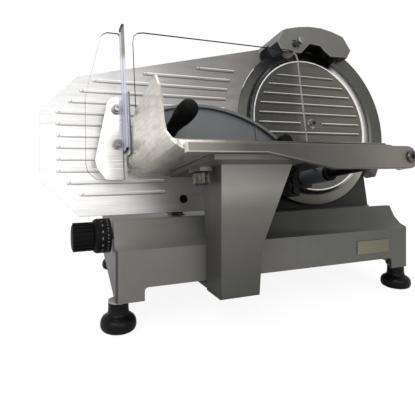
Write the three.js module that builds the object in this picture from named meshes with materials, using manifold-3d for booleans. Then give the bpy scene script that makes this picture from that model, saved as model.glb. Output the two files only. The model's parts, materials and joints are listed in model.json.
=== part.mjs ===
// Gravity-feed meat slicer with a 250 mm blade, in millimetres, +Z up.
// X runs with the carriage, from the operator's left to the right, and Y runs away from the operator.
// The blade, the gauge plate and the table share a frame that leans back about X by bladeTilt. In that
// leaning frame y is the distance behind the cutting edge and z the height over the blade's axis.
import * as THREE from 'three';
import { mergeVertices } from 'three/addons/utils/BufferGeometryUtils.js';
import Module from 'manifold-3d';

const wasm = await Module();
wasm.setup();

const degree = Math.PI / 180;

// Driving sizes
const bladeRadius = 125;
const bladeTilt = 10 * degree;
const gaugeTravel = 15;
const buttonTravel = 3;

// Fits
const seatGap = 0.3;
const runningGap = 0.35;
const weldGap = 1e-4;
const cutOver = 1;

// Facets
const discSides = 38;
const wheelSides = 18;
const knobSides = 14;
const shaftSides = 10;
const arcSteps = 3;
const ribSteps = 2;
const cornerShare = 0.5;

const base = {
  left: -329, right: 81, front: -110, rear: 150, leftRunIn: 28, flare: 31, flareFront: -45, flareRear: -12,
  topHeight: 106, padShare: 0.302, skirtShare: 0.434, creaseDrop: 20,
  ridgeSetBack: 30, ridgeRise: 7, coveSetBack: 20, coveDrop: 18,
  lipWidth: 5, lipSlope: 6, rearRound: 9,
  wall: 4, cornerRound: 6, padWidth: 31, windowRound: 4,
  footInset: 6, footSetBack: 15, footBossRadius: 13, footBossTop: 60,
};

const foot = {
  neckRadius: 10.8, waistRadius: 10.4, flangeRadius: 18.5, soleRadius: 12.5, waistHeight: 23,
  shoulderHeight: 17.5, flangeHeight: 10.5, rimHeight: 4.5,
};

const plateSize = { left: -11, right: 43.5, drop: 30, height: 17, thickness: 0.8, round: 2 };

const blade = {
  bore: 12.3, bevelWidth: 13, edgeY: 0.9, edgeThickness: 0.4, bevelRise: 0.8, thickness: 3.2, baseRoom: 4,
};

const hub = { boreRadius: 5, shaftRadius: 12, flangeRadius: 32, flangeThickness: 3, rear: 48 };

const bearing = { outerRadius: 19.7, front: 10.5, rear: 22.5 };

const pulley = {
  radius: 45, rimDepth: 6, webThickness: 6, front: 29, rear: 43, hubRadius: 18, windowRadius: 9,
  windowCircle: 29, windowCount: 3,
};

const motorPulley = { radius: 15, x: 55, rise: 29, shaftRadius: 5, shaftRear: 64 };

const belt = { thickness: 2.5, side: 1.5 };

const cover = {
  rimInset: 15.5, rimRound: 6, front: -8, rear: -1.8, sheet: 1.5, boreRadius: 3.3, bossRadius: 14,
  ribPitch: 15.3, ribMargin: 17, ribEndRoom: 8, ribWidth: 4.2, ribRise: 1.1, ribSlope: 0.9, centreGap: 22,
};

const coverBolt = {
  headRadius: 5.6, headHeight: 4.2, washerRadius: 7.6, washerHeight: 1, socketRadius: 2.6, socketDepth: 2.2,
  shankRadius: 2.9,
};

const tieRod = { radius: 4.6, front: -1.4, rear: 59 };

const housing = {
  front: 9, plateRear: 24, discInset: 13, pedestalLeft: -80, pedestalRight: 109, pedestalTop: -40,
  pedestalDepth: 21, boxRear: 60, boxLeft: -70, boxRight: 100, boxTop: 58, boxBend: 34,
  wall: 4, seatStep: 5, seatFront: 13.3, seatStart: -39, seatEnd: 112, coverThickness: 3, windowRoom: 3,
};

const ring = {
  lap: 7, width: 27, front: -9, rear: 13, bladeRoom: 3.5, grooveFront: -4.5, start: -36, end: 62, endRoom: 1,
};

const gauge = {
  left: -401, top: 5, baseRoom: 3, chamferX: -355.5, chamferTop: 53.5, chamferBottom: -81,
  crestX: -78, crestTop: 120, lowerRight: -88, mouthRoom: 4, thickness: 3,
  ribTop: 79, ribInset: 27.04, ribWidth: 5, ribRise: 1.2, ribSlope: 1, ribMargin: 21,
  shortRibFrom: 11, shortRibRight: -247, screwX: -220, screwInset: 17,
};
const ribLeftShares = [0.669, 0.421, 0.207, 0.155, 0.111, 0.065, 0.065, 0.065, 0.065, 0.065, 0.065, 0.102,
  0.149];

const gaugeBracket = {
  left: -250, right: -195, plateInset: 5, height: 46, thickness: 6, ribWidth: 16, ribRear: 30, ribRoom: 1.5,
  guideX: -225, guideDrop: 21, sleeveRadius: 13, sleeveFront: 12, sleeveRear: 52,
  armSetBack: 92, armWidth: 14, armThickness: 5.4, armOver: 6, topRoom: 0.6, pinX: -284, pinRadius: 3,
    pinLength: 9,
};

const gaugeRod = { radius: 8, front: -7, rear: 95, lugWidth: 24, lugThickness: 8, lugBelow: 12 };

const gaugeScrew = { headRadius: 5.6, crownRadius: 3.9, headHeight: 1.6, shankRadius: 2.6 };

const dial = {
  setBack: 43, drop: 10.6, knobLeft: -369, knobRight: -346.5, knobRadius: 15.5, knobFloor: 8, gripCount: 12,
  gripDepth: 0.7, collarRight: -328, collarRadius: 19, collarStep: 3, shaftRadius: 5, shaftRight: -262,
};

const nut = {
  left: -300, right: -284, halfDepth: 9, below: 8.9, plateLeft: -310, plateRight: -268, plateReach: 79,
  plateThickness: 4, plateGap: 4, travel: 16, slotClearance: 0.4,
};

const slide = {
  rodRadius: 9, setBack: 41, drop: 42, bossRadius: 14, bossLength: 8, blockLeft: -245, blockRight: -172,
  blockHalfDepth: 24, blockBelow: 17, blockAbove: 19,
};

const rail = { gap: 9, width: 10, below: 10, height: 6 };

const roller = { x: -208, radius: 9, axleRadius: 4, length: 8 };

const arm = {
  left: -229, bottomRight: -183, kneeRight: -179.5, topRight: -137.5, kneeRise: 2, topFlare: 21,
  depth: 37, baseRoom: 3, wall: 5, tongueRoom: 1.5, tongueThickness: 7.5, edgeRound: 4, saddleLeft: -254,
  saddleRight: -136, saddleFront: -168, saddleRear: -42, saddleThickness: 5, saddleRound: 8, bossRadius: 13,
  bossLength: 9.2, ribThickness: 5, ribReach: 29,
};

const clampKnob = {
  x: -241, y: -112, radius: 8.5, height: 13, studRadius: 4, knurlCount: 12, knurlDepth: 0.6, chamfer: 1.2,
};

const tray = {
  left: -298, right: -53, front: -182, rear: -12, rise: 52, sheet: 2.5, bendRadius: 20, cornerRadius: 14,
  finHeight: 79, finMargin: 10,
};
const finShares = [[0, 0.266], [0.088, 0.367], [0.306, 0.861], [0.753, 0.994], [0.794, 1], [0.818, 0.937],
  [0.876, 0.722], [0.888, 0.38], [0.918, 0.228], [0.965, 0.127], [1.035, 0.044]];

const frontRail = {
  left: -286, stepX: -57, stepRise: 0.8, notchX: -52, taperLeft: -207, taperRight: -129, rise: 3.5,
  leftDepth: 8.5, rightDepth: 24, thickness: 7.7, bossLength: 8, bevel: 0.8,
};

const rod = { x: -31, drop: 9, radius: 6, lugRadius: 12, rear: -11 };

const railScrew = {
  headRadius: 6, headHeight: 3.4, socketRadius: 2.9, socketDepth: 2, shankRadius: 2.6,
};

const rearBracket = {
  front: -24, plateFront: -15, rear: -10.4, halfWidth: 13, above: 14, below: 15, legLeft: -66, legRight: -49,
  legBelow: 27, webAbove: 2, round: 4, boltX: -57.5, upperBoltBelow: 4, lowerBoltBelow: 19, boltRadius: 5.6,
  boltHead: 4,
};

const sleeve = { outerRadius: 8, rear: -15.5, collarRadius: 10.6, collarLength: 5.5 };

const pusher = {
  hubRadius: 10.8, hubRear: -16, hubFront: -65, plateRear: -51, plateThickness: 3, rimWidth: 3.6, rimDepth: 9,
  left: -288, tableRoom: 3.5, endHeight: 10, beamHeight: 5.5, crestX: -216, crestHeight: 81.5, arcRadius: 180,
  foldX: -132, foldWidth: 2.4, foldDepth: 2, handleBossRadius: 10, handleBossLength: 6,
};

const shield = { left: -293, right: -46, tableRoom: 4, height: 171, thickness: 3, round: 14 };

const handle = {
  footX: -257, footHeight: 44, leanX: 13, leanY: -34, leanZ: 19, neckRadius: 8.4, waistRadius: 8,
    gripRadius: 11.7,
  crownRadius: 10.1, tipRadius: 5.9, waistAt: 8, swellAt: 26, gripEnd: 40, crownAt: 45.3, tipAt: 48.8,
    length: 50,
};

const pusherKnob = {
  x: -98, height: 33, radius: 10, length: 14, bossRadius: 8, shankRadius: 3, lobeCount: 7, lobeDepth: 0.9,
};

const guard = {
  front: -23, thickness: 3, stripLeft: -303.6, stripAbove: 191, stripBelow: 27, stripFront: -38, width: 46.2,
  height: 192.5, below: 8, round: 3,
};
const guardShares = [[1, 1], [0.64, 1], [0.49, 0.975], [0.05, 0.57], [0.02, 0.522], [0, 0.1], [0.06, 0.052],
  [0.28, 0.006], [1, 0]];

const guardBracket = {
  width: 39, height: 106, below: 7, thickness: 2, legFront: -45, legAbove: 99, legBelow: 21, wallGap: 0.3,
    round: 3,
};
const guardBracketShares = [[1, 1], [0.605, 0.993], [0.435, 0.94], [0, 0.232], [0.055, 0.14], [0.327, 0],
  [1, 0]];

const guardScrew = {
  x: -310.2, upperAbove: 82.2, lowerAbove: 37.1, headRadius: 4.2, headHeight: 3, washerRadius: 6,
  washerHeight: 0.9, socketRadius: 2.1, socketDepth: 1.6, shankRadius: 2.4,
};

const sharpener = {
  left: -64, width: 143, drop: 19, height: 48, front: -30, rear: 50, wall: 3, bevel: 2,
  throatLeft: -50, throatRight: 64, throatRise: 2, discLap: 29, seatRoom: 2, ringRoom: 2, reliefFront: -4,
  reliefRearRoom: 1, reliefStart: 40, reliefEnd: 130, ringFrontRoom: 3, ringRearRoom: 1, ringEndRoom: 4,
  postX: -18, postY: 37, postRadius: 6, collarRadius: 10.5, collarGap: 1, postRise: 23,
  holeRadius: 7.5, bushRadius: 10.5, bushLength: 7, stoneX: -31, stoneInset: 5.5, rearStoneX: 26,
};
const hoodShares = [[0, 0.3125], [0.052, 0], [0.297, 0], [0.428, 0.3625], [0.476, 0.354], [0.566, 0.333],
  [0.615, 0.167],
  [0.692, 0], [0.93, 0.02], [1, 0.3125], [0.909, 0.79], [0.762, 0.927], [0.615, 1], [0.4615, 1],
  [0.308, 0.9375],
  [0.14, 0.8125], [0.084, 0.729]];

const stone = {
  radius: 12.5, thickness: 6.5, shaftRadius: 3.6, bladeGap: 4, rearGap: 6, collarWidth: 2, collarLength: 2.5,
  knobRadius: 5.2, knobLength: 6, proud: 10, rearProud: 7, chamfer: 1,
};

const sharpenerBracket = { left: -38, right: 2, front: 24.3, rear: 46.5, lap: 25, shoulder: 7 };

const deflector = { discLap: 14, reach: 44, rear: 62, bottom: -72, top: 66, sheet: 1.5 };
const bendShare = 0.55;

const motor = {
  radius: 40, front: 66, rear: 146, frontBossRadius: 16, frontBossLength: 1.4, finCount: 16, finDepth: 2,
  sideRoom: 7, frontRoom: 5.6, rearRoom: 13.6,
};

const motorShell = {
  sideRoom: 14, crownRise: 70, front: 46, rearInset: 3, wall: 3, crownRound: 34,
  ventCount: 5, ventWidth: 5, ventPitch: 14, ventRise: 22, ventHeight: 30,
};

const rearPanel = {
  startX: -70, stopX: -40, buttonDrop: 30, buttonRadius: 9, buttonRoom: 1, frameX: 16, frameZ: 15,
  frameDepth: 3,
  buttonProud: 6, stemRadius: 6, stemLength: 12, glandX: 40, glandDrop: 36, glandRadius: 9, glandLength: 14,
  glandBore: 4.5, glandStemRadius: 7, chamfer: 1.2,
};

// Heights and places that follow from the sizes above
const axisRise = bladeRadius + blade.baseRoom;
const bladeAxisHeight = base.topHeight + axisRise;
const padHeight = base.topHeight * base.padShare;
const skirtHeight = base.topHeight * base.skirtShare;
const buttonZ = base.topHeight - rearPanel.buttonDrop;
const glandZ = base.topHeight - rearPanel.glandDrop;
const creaseHeight = base.topHeight - base.creaseDrop;
const ridgeHeight = base.topHeight + base.ridgeRise;
const ridgeY = base.front + base.ridgeSetBack;
const coveHeight = base.topHeight - base.coveDrop;
const coveY = base.front + base.coveSetBack;
const flareRight = base.right + base.flare;
const bevelRadius = bladeRadius - blade.bevelWidth;
const coverRadius = bladeRadius - cover.rimInset;
const motorZ = motorPulley.rise - axisRise;
const ringInner = bladeRadius - ring.lap;
const ringOuter = ringInner + ring.width;
const discRadius = bladeRadius - housing.discInset;
const seatRadius = ringOuter - housing.seatStep;
const pedestalBottom = -axisRise - housing.pedestalDepth;
const gaugeBottom = gauge.baseRoom - axisRise;
const guideZ = -axisRise - gaugeBracket.guideDrop;
const dialY = base.front + dial.setBack;
const dialZ = base.topHeight - dial.drop;
const slideY = base.front + slide.setBack;
const slideZ = base.topHeight - slide.drop;
const blockFront = slideY - slide.blockHalfDepth;
const blockRear = slideY + slide.blockHalfDepth;
const railFrontY = blockRear + rail.gap;
const railTopZ = slideZ - rail.below;
const tongueTop = skirtHeight - arm.tongueRoom;
const armBottom = tongueTop - arm.tongueThickness;
const armRear = base.front - arm.baseRoom;
const armFront = armRear - arm.depth;
const kneeHeight = creaseHeight + arm.kneeRise;
const trayTop = tray.rise - axisRise;
const trayBottom = trayTop - tray.sheet;
const rodZ = trayTop - rod.drop;
const railTop = trayTop + frontRail.rise;
const pusherBottom = trayTop + pusher.tableRoom;
const arcZ = trayTop + pusher.crestHeight - pusher.arcRadius;
const hoodBottom = bladeRadius - sharpener.drop;
const throatTop = bladeRadius + sharpener.throatRise;
const stoneZ = bladeRadius - sharpener.stoneInset;
const postBase = bladeRadius - sharpenerBracket.shoulder;
const postTop = bladeRadius + sharpener.postRise;

// A table of shares laid out from a corner over a width and a height
const spread = (shares, left, bottom, width, height) => shares.map(
  ([across, up]) => [left + across * width, bottom + up * height],
);

const paint = { color: 0x6b6a65, roughness: 0.55, metalness: 0.25 };
const darkPaint = { color: 0x55544f, roughness: 0.5, metalness: 0.3 };
const brushed = { color: 0xb9b7b0, roughness: 0.35, metalness: 0.9 };
const polished = { color: 0xcfccc4, roughness: 0.18, metalness: 0.95 };
const coverSteel = { color: 0x5a574f, roughness: 0.4, metalness: 0.85 };
const steel = { color: 0x9a9a98, roughness: 0.3, metalness: 0.9 };
const chrome = { color: 0xd8d8d6, roughness: 0.1, metalness: 1 };
const black = { color: 0x161616, roughness: 0.5, metalness: 0 };
const rubber = { color: 0x121212, roughness: 0.8, metalness: 0 };
const blueGrey = { color: 0x65676c, roughness: 0.5, metalness: 0.3 };
const clear = { color: 0xdfe3ee, roughness: 0.08, metalness: 0, transparent: true, opacity: 0.3 };
const beige = { color: 0xa9a184, roughness: 0.4, metalness: 0.7 };
const stoneGrey = { color: 0x8c7f74, roughness: 0.95, metalness: 0 };
const green = { color: 0x2f7a45, roughness: 0.4, metalness: 0 };
const red = { color: 0xa32a22, roughness: 0.4, metalness: 0 };

// Geometry helpers

function outline(points) {
  return new THREE.Shape(points.map(([x, y]) => new THREE.Vector2(x, y)));
}

// A polygon with every corner rounded; a corner's radius shrinks where its edges are short.
function rounded(points, radius) {
  const shape = new THREE.Shape();
  const count = points.length;
  points.forEach(([x, y], index) => {
    const corner = new THREE.Vector2(x, y);
    const before = new THREE.Vector2(...points[(index + count - 1) % count]);
    const after = new THREE.Vector2(...points[(index + 1) % count]);
    const inLength = corner.distanceTo(before);
    const outLength = corner.distanceTo(after);
    const reach = Math.min(radius, inLength * cornerShare, outLength * cornerShare);
    const start = corner.clone().lerp(before, reach / inLength);
    const end = corner.clone().lerp(after, reach / outLength);
    if (index === 0) shape.moveTo(start.x, start.y);
    else shape.lineTo(start.x, start.y);
    shape.quadraticCurveTo(corner.x, corner.y, end.x, end.y);
  });
  shape.closePath();
  return shape;
}

function rectangle(left, right, bottom, top, radius = 0) {
  const corners = [[left, bottom], [right, bottom], [right, top], [left, top]];
  return radius > 0 ? rounded(corners, radius) : outline(corners);
}

function sector(inner, outer, start, end) {
  const shape = new THREE.Shape();
  shape.absarc(0, 0, outer, start * degree, end * degree, false);
  shape.absarc(0, 0, inner, end * degree, start * degree, true);
  shape.closePath();
  return shape;
}

function stadium(left, right, middle, width) {
  const half = width / 2;
  const shape = new THREE.Shape();
  shape.absarc(right - half, middle, half, -Math.PI / 2, Math.PI / 2, false);
  shape.absarc(left + half, middle, half, Math.PI / 2, 1.5 * Math.PI, false);
  shape.closePath();
  return shape;
}

// The polygon moved in by a distance, edge by edge; its points run anticlockwise.
function inset(points, distance) {
  const count = points.length;
  return points.map((point, index) => {
    const here = new THREE.Vector2(...point);
    const incoming = here.clone().sub(new THREE.Vector2(...points[(index + count - 1) % count])).normalize();
    const outgoing = new THREE.Vector2(...points[(index + 1) % count]).sub(here).normalize();
    const turn = 1 + incoming.dot(outgoing);
    const normalSum = new THREE.Vector2(-incoming.y - outgoing.y, incoming.x + outgoing.x);
    return here.add(normalSum.multiplyScalar(distance / turn)).toArray();
  });
}

function extrude(shape, depth, options = {}) {
  return new THREE.ExtrudeGeometry(shape, { depth, bevelEnabled: false, curveSegments: arcSteps,
    ...options });
}

function placed(geometry, right, up, out, x, y, z) {
  return geometry.applyMatrix4(new THREE.Matrix4().makeBasis(right, up, out).setPosition(x, y, z));
}

const axisX = new THREE.Vector3(1, 0, 0);
const axisY = new THREE.Vector3(0, 1, 0);
const axisZ = new THREE.Vector3(0, 0, 1);
const towardOperator = new THREE.Vector3(0, -1, 0);

function alongX(shape, from, to, options) {
  return placed(extrude(shape, to - from, options), axisY, axisZ, axisX, from, 0, 0);
}

// The shape is drawn as the operator sees it, x to the right and z up.
function alongY(shape, from, to, options) {
  return placed(extrude(shape, to - from, options), axisX, axisZ, towardOperator, 0, to, 0);
}

function alongZ(shape, from, to, options) {
  return placed(extrude(shape, to - from, options), axisX, axisY, axisZ, 0, 0, from);
}

// Turned about y; the profile may run either way round.
function turned(profile, sides) {
  const points = profile.map(([radius, along]) => new THREE.Vector2(radius, along));
  if (THREE.ShapeUtils.area(points) < 0) points.reverse();
  return new THREE.LatheGeometry(points, sides);
}

function rod3(radius, from, to, sides = shaftSides) {
  return turned([[0, from], [radius, from], [radius, to], [0, to]], sides);
}

function tube3(inner, outer, from, to, sides = shaftSides) {
  return turned([[inner, from], [outer, from], [outer, to], [inner, to], [inner, from]], sides);
}

function lyingX(geometry, y, z) {
  return geometry.rotateZ(-Math.PI / 2).translate(0, y, z);
}

function standing(geometry, x, y) {
  return geometry.rotateX(Math.PI / 2).translate(x, y, 0);
}

// A knob profile turned about Z with shallow flutes cut round it, as one shape.
function fluted(radius, depth, count) {
  const shape = new THREE.Shape();
  const steps = count * 2;
  for (let step = 0; step < steps; step += 1) {
    const angle = (step * 2 * Math.PI) / steps;
    const reach = step % 2 === 0 ? radius : radius - depth;
    if (step === 0) shape.moveTo(reach, 0);
    else shape.lineTo(reach * Math.cos(angle), reach * Math.sin(angle));
  }
  shape.closePath();
  return shape;
}

function toSolid(geometry) {
  const bare = new THREE.BufferGeometry();
  bare.setAttribute('position', geometry.getAttribute('position').clone());
  if (geometry.index) bare.setIndex(geometry.index.clone());
  const welded = mergeVertices(bare, weldGap);
  const source = welded.index.array;
  const triangles = [];
  for (let i = 0; i < source.length; i += 3) {
    const [a, b, c] = [source[i], source[i + 1], source[i + 2]];
    if (a !== b && b !== c && a !== c) triangles.push(a, b, c);
  }
  const vertices = Float32Array.from(welded.getAttribute('position').array);
  let volume = 0;
  const [p, q, r] = [new THREE.Vector3(), new THREE.Vector3(), new THREE.Vector3()];
  for (let i = 0; i < triangles.length; i += 3) {
    p.fromArray(vertices, triangles[i] * 3);
    q.fromArray(vertices, triangles[i + 1] * 3);
    r.fromArray(vertices, triangles[i + 2] * 3);
    volume += p.dot(q.cross(r));
  }
  if (volume < 0) {
    for (let i = 0; i < triangles.length; i += 3) {
      [triangles[i + 1], triangles[i + 2]] = [triangles[i + 2], triangles[i + 1]];
    }
  }
  return new wasm.Manifold(
    new wasm.Mesh({ numProp: 3, vertProperties: vertices, triVerts: Uint32Array.from(triangles) }),
  );
}

function toGeometry(solid) {
  const mesh = solid.getMesh();
  const geometry = new THREE.BufferGeometry();
  geometry.setAttribute('position', new THREE.BufferAttribute(Float32Array.from(mesh.vertProperties), 3));
  geometry.setIndex(new THREE.BufferAttribute(Uint32Array.from(mesh.triVerts), 1));
  geometry.computeVertexNormals();
  return geometry;
}

function join(...geometries) {
  return toGeometry(geometries.map(toSolid).reduce((all, next) => all.add(next)));
}

function cut(body, ...tools) {
  return toGeometry(tools.map(toSolid).reduce((rest, tool) => rest.subtract(tool), toSolid(body)));
}

function common(first, second) {
  return toGeometry(toSolid(first).intersect(toSolid(second)));
}

const slicer = new THREE.Group();
slicer.name = 'meat_slicer';
const upright = new THREE.Group();
const leaning = new THREE.Group();
leaning.position.set(0, 0, bladeAxisHeight);
leaning.rotation.x = -bladeTilt;
leaning.updateMatrix();
slicer.add(upright, leaning);

function level(geometry) {
  return geometry.applyMatrix4(leaning.matrix);
}

function add(group, name, geometry, look) {
  const mesh = new THREE.Mesh(geometry, new THREE.MeshStandardMaterial(look));
  mesh.name = name;
  group.add(mesh);
  return mesh;
}

// Base casting: a shell open at the bottom, with a cove along the front and a raised ridge behind it.

const leftAt = (y) => base.left + (base.leftRunIn * (y - base.front)) / (base.rear - base.front);

const basePlan = [
  [base.left, base.front], [base.right, base.front], [base.right, base.flareFront],
  [flareRight, base.flareRear],
  [flareRight, base.rear], [leftAt(base.rear), base.rear],
];

function baseSection(wall, bottom) {
  const shape = new THREE.Shape();
  shape.moveTo(base.front + wall, bottom);
  shape.lineTo(base.front + wall, creaseHeight - wall / 2);
  shape.quadraticCurveTo(coveY + wall, coveHeight - wall / 2, ridgeY + wall, ridgeHeight - wall);
  if (wall > 0) {
    shape.lineTo(ridgeY + base.lipSlope + wall, base.topHeight - wall);
  } else {
    shape.lineTo(ridgeY + base.lipWidth, ridgeHeight);
    shape.lineTo(ridgeY + base.lipWidth + base.lipSlope, base.topHeight);
  }
  shape.lineTo(base.rear - base.rearRound, base.topHeight - wall);
  shape.quadraticCurveTo(base.rear - wall, base.topHeight - wall, base.rear - wall,
    base.topHeight - base.rearRound);
  shape.lineTo(base.rear - wall, bottom);
  shape.closePath();
  return shape;
}

const footPlaces = [
  ['foot_front_left', leftAt(base.front) + base.footInset, base.front + base.footSetBack],
  ['foot_front_right', base.right - base.footInset, base.front + base.footSetBack],
  ['foot_rear_left', leftAt(base.rear) + base.footBossRadius + base.wall, base.rear - base.footBossRadius],
  ['foot_rear_right', flareRight - base.footBossRadius - base.wall, base.rear - base.footBossRadius],
];

const baseOuter = common(
  alongZ(rounded(basePlan, base.cornerRound), padHeight, ridgeHeight + cutOver),
  alongX(baseSection(0, padHeight), base.left - cutOver, flareRight + cutOver),
);
const baseInner = common(
  alongZ(rounded(inset(basePlan, base.wall), base.cornerRound - base.wall), padHeight - cutOver,
    ridgeHeight),
  alongX(baseSection(base.wall, padHeight - cutOver), base.left, flareRight),
);
const baseWindow = (from, to) => alongY(
  rectangle(base.left + base.padWidth, base.right - base.padWidth, padHeight - base.windowRound,
    skirtHeight, base.windowRound),
  from,
  to,
);
const gaugeRodAxis = (radius, from, to) => level(
  rod3(radius, from, to).translate(gaugeBracket.guideX, 0, guideZ),
);
const gaugeRodY = (along) => along * Math.cos(bladeTilt) + guideZ * Math.sin(bladeTilt);
const gaugeRodHeight = (along) => bladeAxisHeight + guideZ * Math.cos(bladeTilt)
  - along * Math.sin(bladeTilt);
const gaugeLug = (along) => alongX(
  rectangle(gaugeRodY(along) - gaugeRod.lugThickness / 2, gaugeRodY(along) + gaugeRod.lugThickness / 2,
    gaugeRodHeight(along) - gaugeRod.lugBelow, base.topHeight - cutOver),
  gaugeBracket.guideX - gaugeRod.lugWidth / 2,
  gaugeBracket.guideX + gaugeRod.lugWidth / 2,
);
const slideLeft = leftAt(slideY) + base.wall;
const slideRight = base.right - base.wall;
const baseBosses = [
  ...footPlaces.map(([, x, y]) => common(
    standing(rod3(base.footBossRadius, padHeight, base.footBossTop), x, y),
    baseOuter.clone(),
  )),
  common(lyingX(rod3(slide.bossRadius, slideLeft - base.wall / 2, slideLeft + slide.bossLength), slideY,
    slideZ),
    baseOuter.clone()),
  lyingX(rod3(slide.bossRadius, slideRight - slide.bossLength, slideRight + base.wall / 2), slideY, slideZ),
  ...[gaugeRod.front, gaugeRod.rear].map(gaugeLug),
];
const gaugeSlotHalf = gaugeBracket.ribWidth / 2 + gaugeBracket.ribRoom;
const bracketBottom = gaugeBottom + gaugeBracket.plateInset;
const bracketTop = bracketBottom + gaugeBracket.height;
const bracketFrontY = bracketBottom * Math.sin(bladeTilt);
const motorReach = motor.radius + motor.sideRoom;
const motorY = (along) => along * Math.cos(bladeTilt) + motorZ * Math.sin(bladeTilt);
const baseCuts = [
  baseWindow(base.front - cutOver, base.front + base.wall + cutOver),
  baseWindow(base.rear - base.wall - cutOver, base.rear + cutOver),
  alongZ(rectangle(motorPulley.x - motorReach, motorPulley.x + motorReach,
    motorY(motor.front) - motor.frontRoom,
    motorY(motor.rear) + motor.rearRoom, base.cornerRound), base.topHeight - base.wall * 2,
      base.topHeight + cutOver),
  alongZ(rectangle(gaugeBracket.guideX - gaugeSlotHalf, gaugeBracket.guideX + gaugeSlotHalf, bracketFrontY,
    bracketFrontY + gaugeBracket.ribRear + gaugeTravel + base.wall), base.topHeight - base.wall * 2,
  base.topHeight + cutOver),
  lyingX(rod3(slide.rodRadius + seatGap, slideLeft, slideRight, knobSides), slideY, slideZ),
  gaugeRodAxis(gaugeRod.radius + seatGap, gaugeRod.front - gaugeRod.lugThickness,
    gaugeRod.rear + gaugeRod.lugThickness),
  lyingX(rod3(dial.shaftRadius + runningGap, leftAt(dialY) - base.wall, leftAt(dialY) + base.wall * 2), dialY,
    dialZ),
  ...[rearPanel.startX, rearPanel.stopX].map((x) => rod3(rearPanel.stemRadius + runningGap,
    base.rear - base.wall * 2, base.rear + cutOver).translate(x, 0, buttonZ)),
  rod3(rearPanel.glandStemRadius + seatGap, base.rear - base.wall * 2, base.rear + cutOver)
    .translate(rearPanel.glandX, 0, glandZ),
];
add(upright, 'base_casting', cut(join(cut(baseOuter, baseInner), ...baseBosses), ...baseCuts), paint);

for (const [name, x, y] of footPlaces) {
  const profile = [
    [0, 0], [foot.soleRadius, 0], [foot.flangeRadius, foot.rimHeight], [foot.flangeRadius, foot.flangeHeight],
    [foot.neckRadius, foot.shoulderHeight], [foot.waistRadius, foot.waistHeight],
    [foot.neckRadius, padHeight - seatGap], [0, padHeight - seatGap],
  ];
  add(upright, name, turned(profile, knobSides).rotateX(Math.PI / 2).translate(x, y, 0), rubber);
}

const plateBottom = creaseHeight - plateSize.drop;
add(upright, 'name_plate', alongY(
  rectangle(plateSize.left, plateSize.right, plateBottom, plateBottom + plateSize.height, plateSize.round),
  base.front - seatGap - plateSize.thickness,
  base.front - seatGap,
), beige);

// Blade, its hollow shaft and the fixed cover that a tie rod holds through that shaft.

add(leaning, 'blade', turned([
  [blade.bore, 0], [coverRadius, 0], [bevelRadius, -blade.bevelRise], [bladeRadius, blade.edgeY],
  [bladeRadius, blade.edgeY + blade.edgeThickness], [bevelRadius, blade.thickness],
  [blade.bore, blade.thickness], [blade.bore, 0],
], discSides), brushed);

const hubFront = blade.thickness + seatGap;
add(leaning, 'blade_shaft', turned([
  [hub.boreRadius, hubFront], [hub.flangeRadius, hubFront],
  [hub.flangeRadius, hubFront + hub.flangeThickness],
  [hub.shaftRadius, hubFront + hub.flangeThickness], [hub.shaftRadius, hub.rear], [hub.boreRadius, hub.rear],
  [hub.boreRadius, hubFront],
], wheelSides), steel);

add(leaning, 'blade_bearing', tube3(hub.shaftRadius + runningGap, bearing.outerRadius, bearing.front,
  bearing.rear,
  wheelSides), steel);

const pulleyMiddle = (pulley.front + pulley.rear) / 2;
const webHalf = pulley.webThickness / 2;
const rimInner = pulley.radius - pulley.rimDepth;
const pulleyBody = turned([
  [hub.shaftRadius + seatGap, pulley.front], [pulley.hubRadius, pulley.front],
  [pulley.hubRadius, pulleyMiddle - webHalf],
  [rimInner, pulleyMiddle - webHalf], [rimInner, pulley.front], [pulley.radius, pulley.front],
  [pulley.radius, pulley.rear], [rimInner, pulley.rear], [rimInner, pulleyMiddle + webHalf],
  [pulley.hubRadius, pulleyMiddle + webHalf], [pulley.hubRadius, pulley.rear],
  [hub.shaftRadius + seatGap, pulley.rear], [hub.shaftRadius + seatGap, pulley.front],
], wheelSides);
const pulleyWindows = Array.from({ length: pulley.windowCount }, (_, index) => {
  const angle = (index * 2 * Math.PI) / pulley.windowCount;
  return rod3(pulley.windowRadius, pulley.front, pulley.rear)
    .translate(pulley.windowCircle * Math.cos(angle), 0, pulley.windowCircle * Math.sin(angle));
});
add(leaning, 'blade_pulley', cut(pulleyBody, ...pulleyWindows), steel);

add(leaning, 'tie_rod', rod3(tieRod.radius, tieRod.front, tieRod.rear), steel);

const coverShell = turned([
  [cover.boreRadius, cover.front], [coverRadius - cover.rimRound, cover.front],
  [coverRadius, cover.front + cover.rimRound / 2], [coverRadius, cover.rear],
  [coverRadius - cover.sheet, cover.rear], [coverRadius - cover.sheet,
  cover.front + cover.rimRound / 2 + cover.sheet],
  [coverRadius - cover.rimRound - cover.sheet, cover.front + cover.sheet],
  [cover.bossRadius, cover.front + cover.sheet],
  [cover.bossRadius, cover.rear], [cover.boreRadius, cover.rear], [cover.boreRadius, cover.front],
], discSides);
const ribBevel = (depth, rise, slope) => ({
  depth, bevelEnabled: true, bevelThickness: rise, bevelSize: slope, bevelOffset: -slope, bevelSegments: 1,
  curveSegments: ribSteps,
});
function rib(left, right, middle, width, face, rise, slope) {
  const inside = rise / 2;
  return alongY(stadium(left, right, middle, width), face, face + inside, ribBevel(inside, rise, slope));
}
const ribReach = coverRadius - cover.ribMargin;
const ribRows = Math.floor((ribReach - cover.ribEndRoom) / cover.ribPitch);
const coverRibs = [];
for (let row = -ribRows; row <= ribRows; row += 1) {
  const z = row * cover.ribPitch;
  const reach = Math.sqrt(ribReach ** 2 - z ** 2);
  const spans = row === 0 ? [[-reach, -cover.centreGap], [cover.centreGap, reach]] : [[-reach, reach]];
  for (const [left, right] of spans) {
    coverRibs.push(rib(left, right, z, cover.ribWidth, cover.front, cover.ribRise, cover.ribSlope));
  }
}
add(leaning, 'blade_cover', join(coverShell, ...coverRibs), coverSteel);

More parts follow.
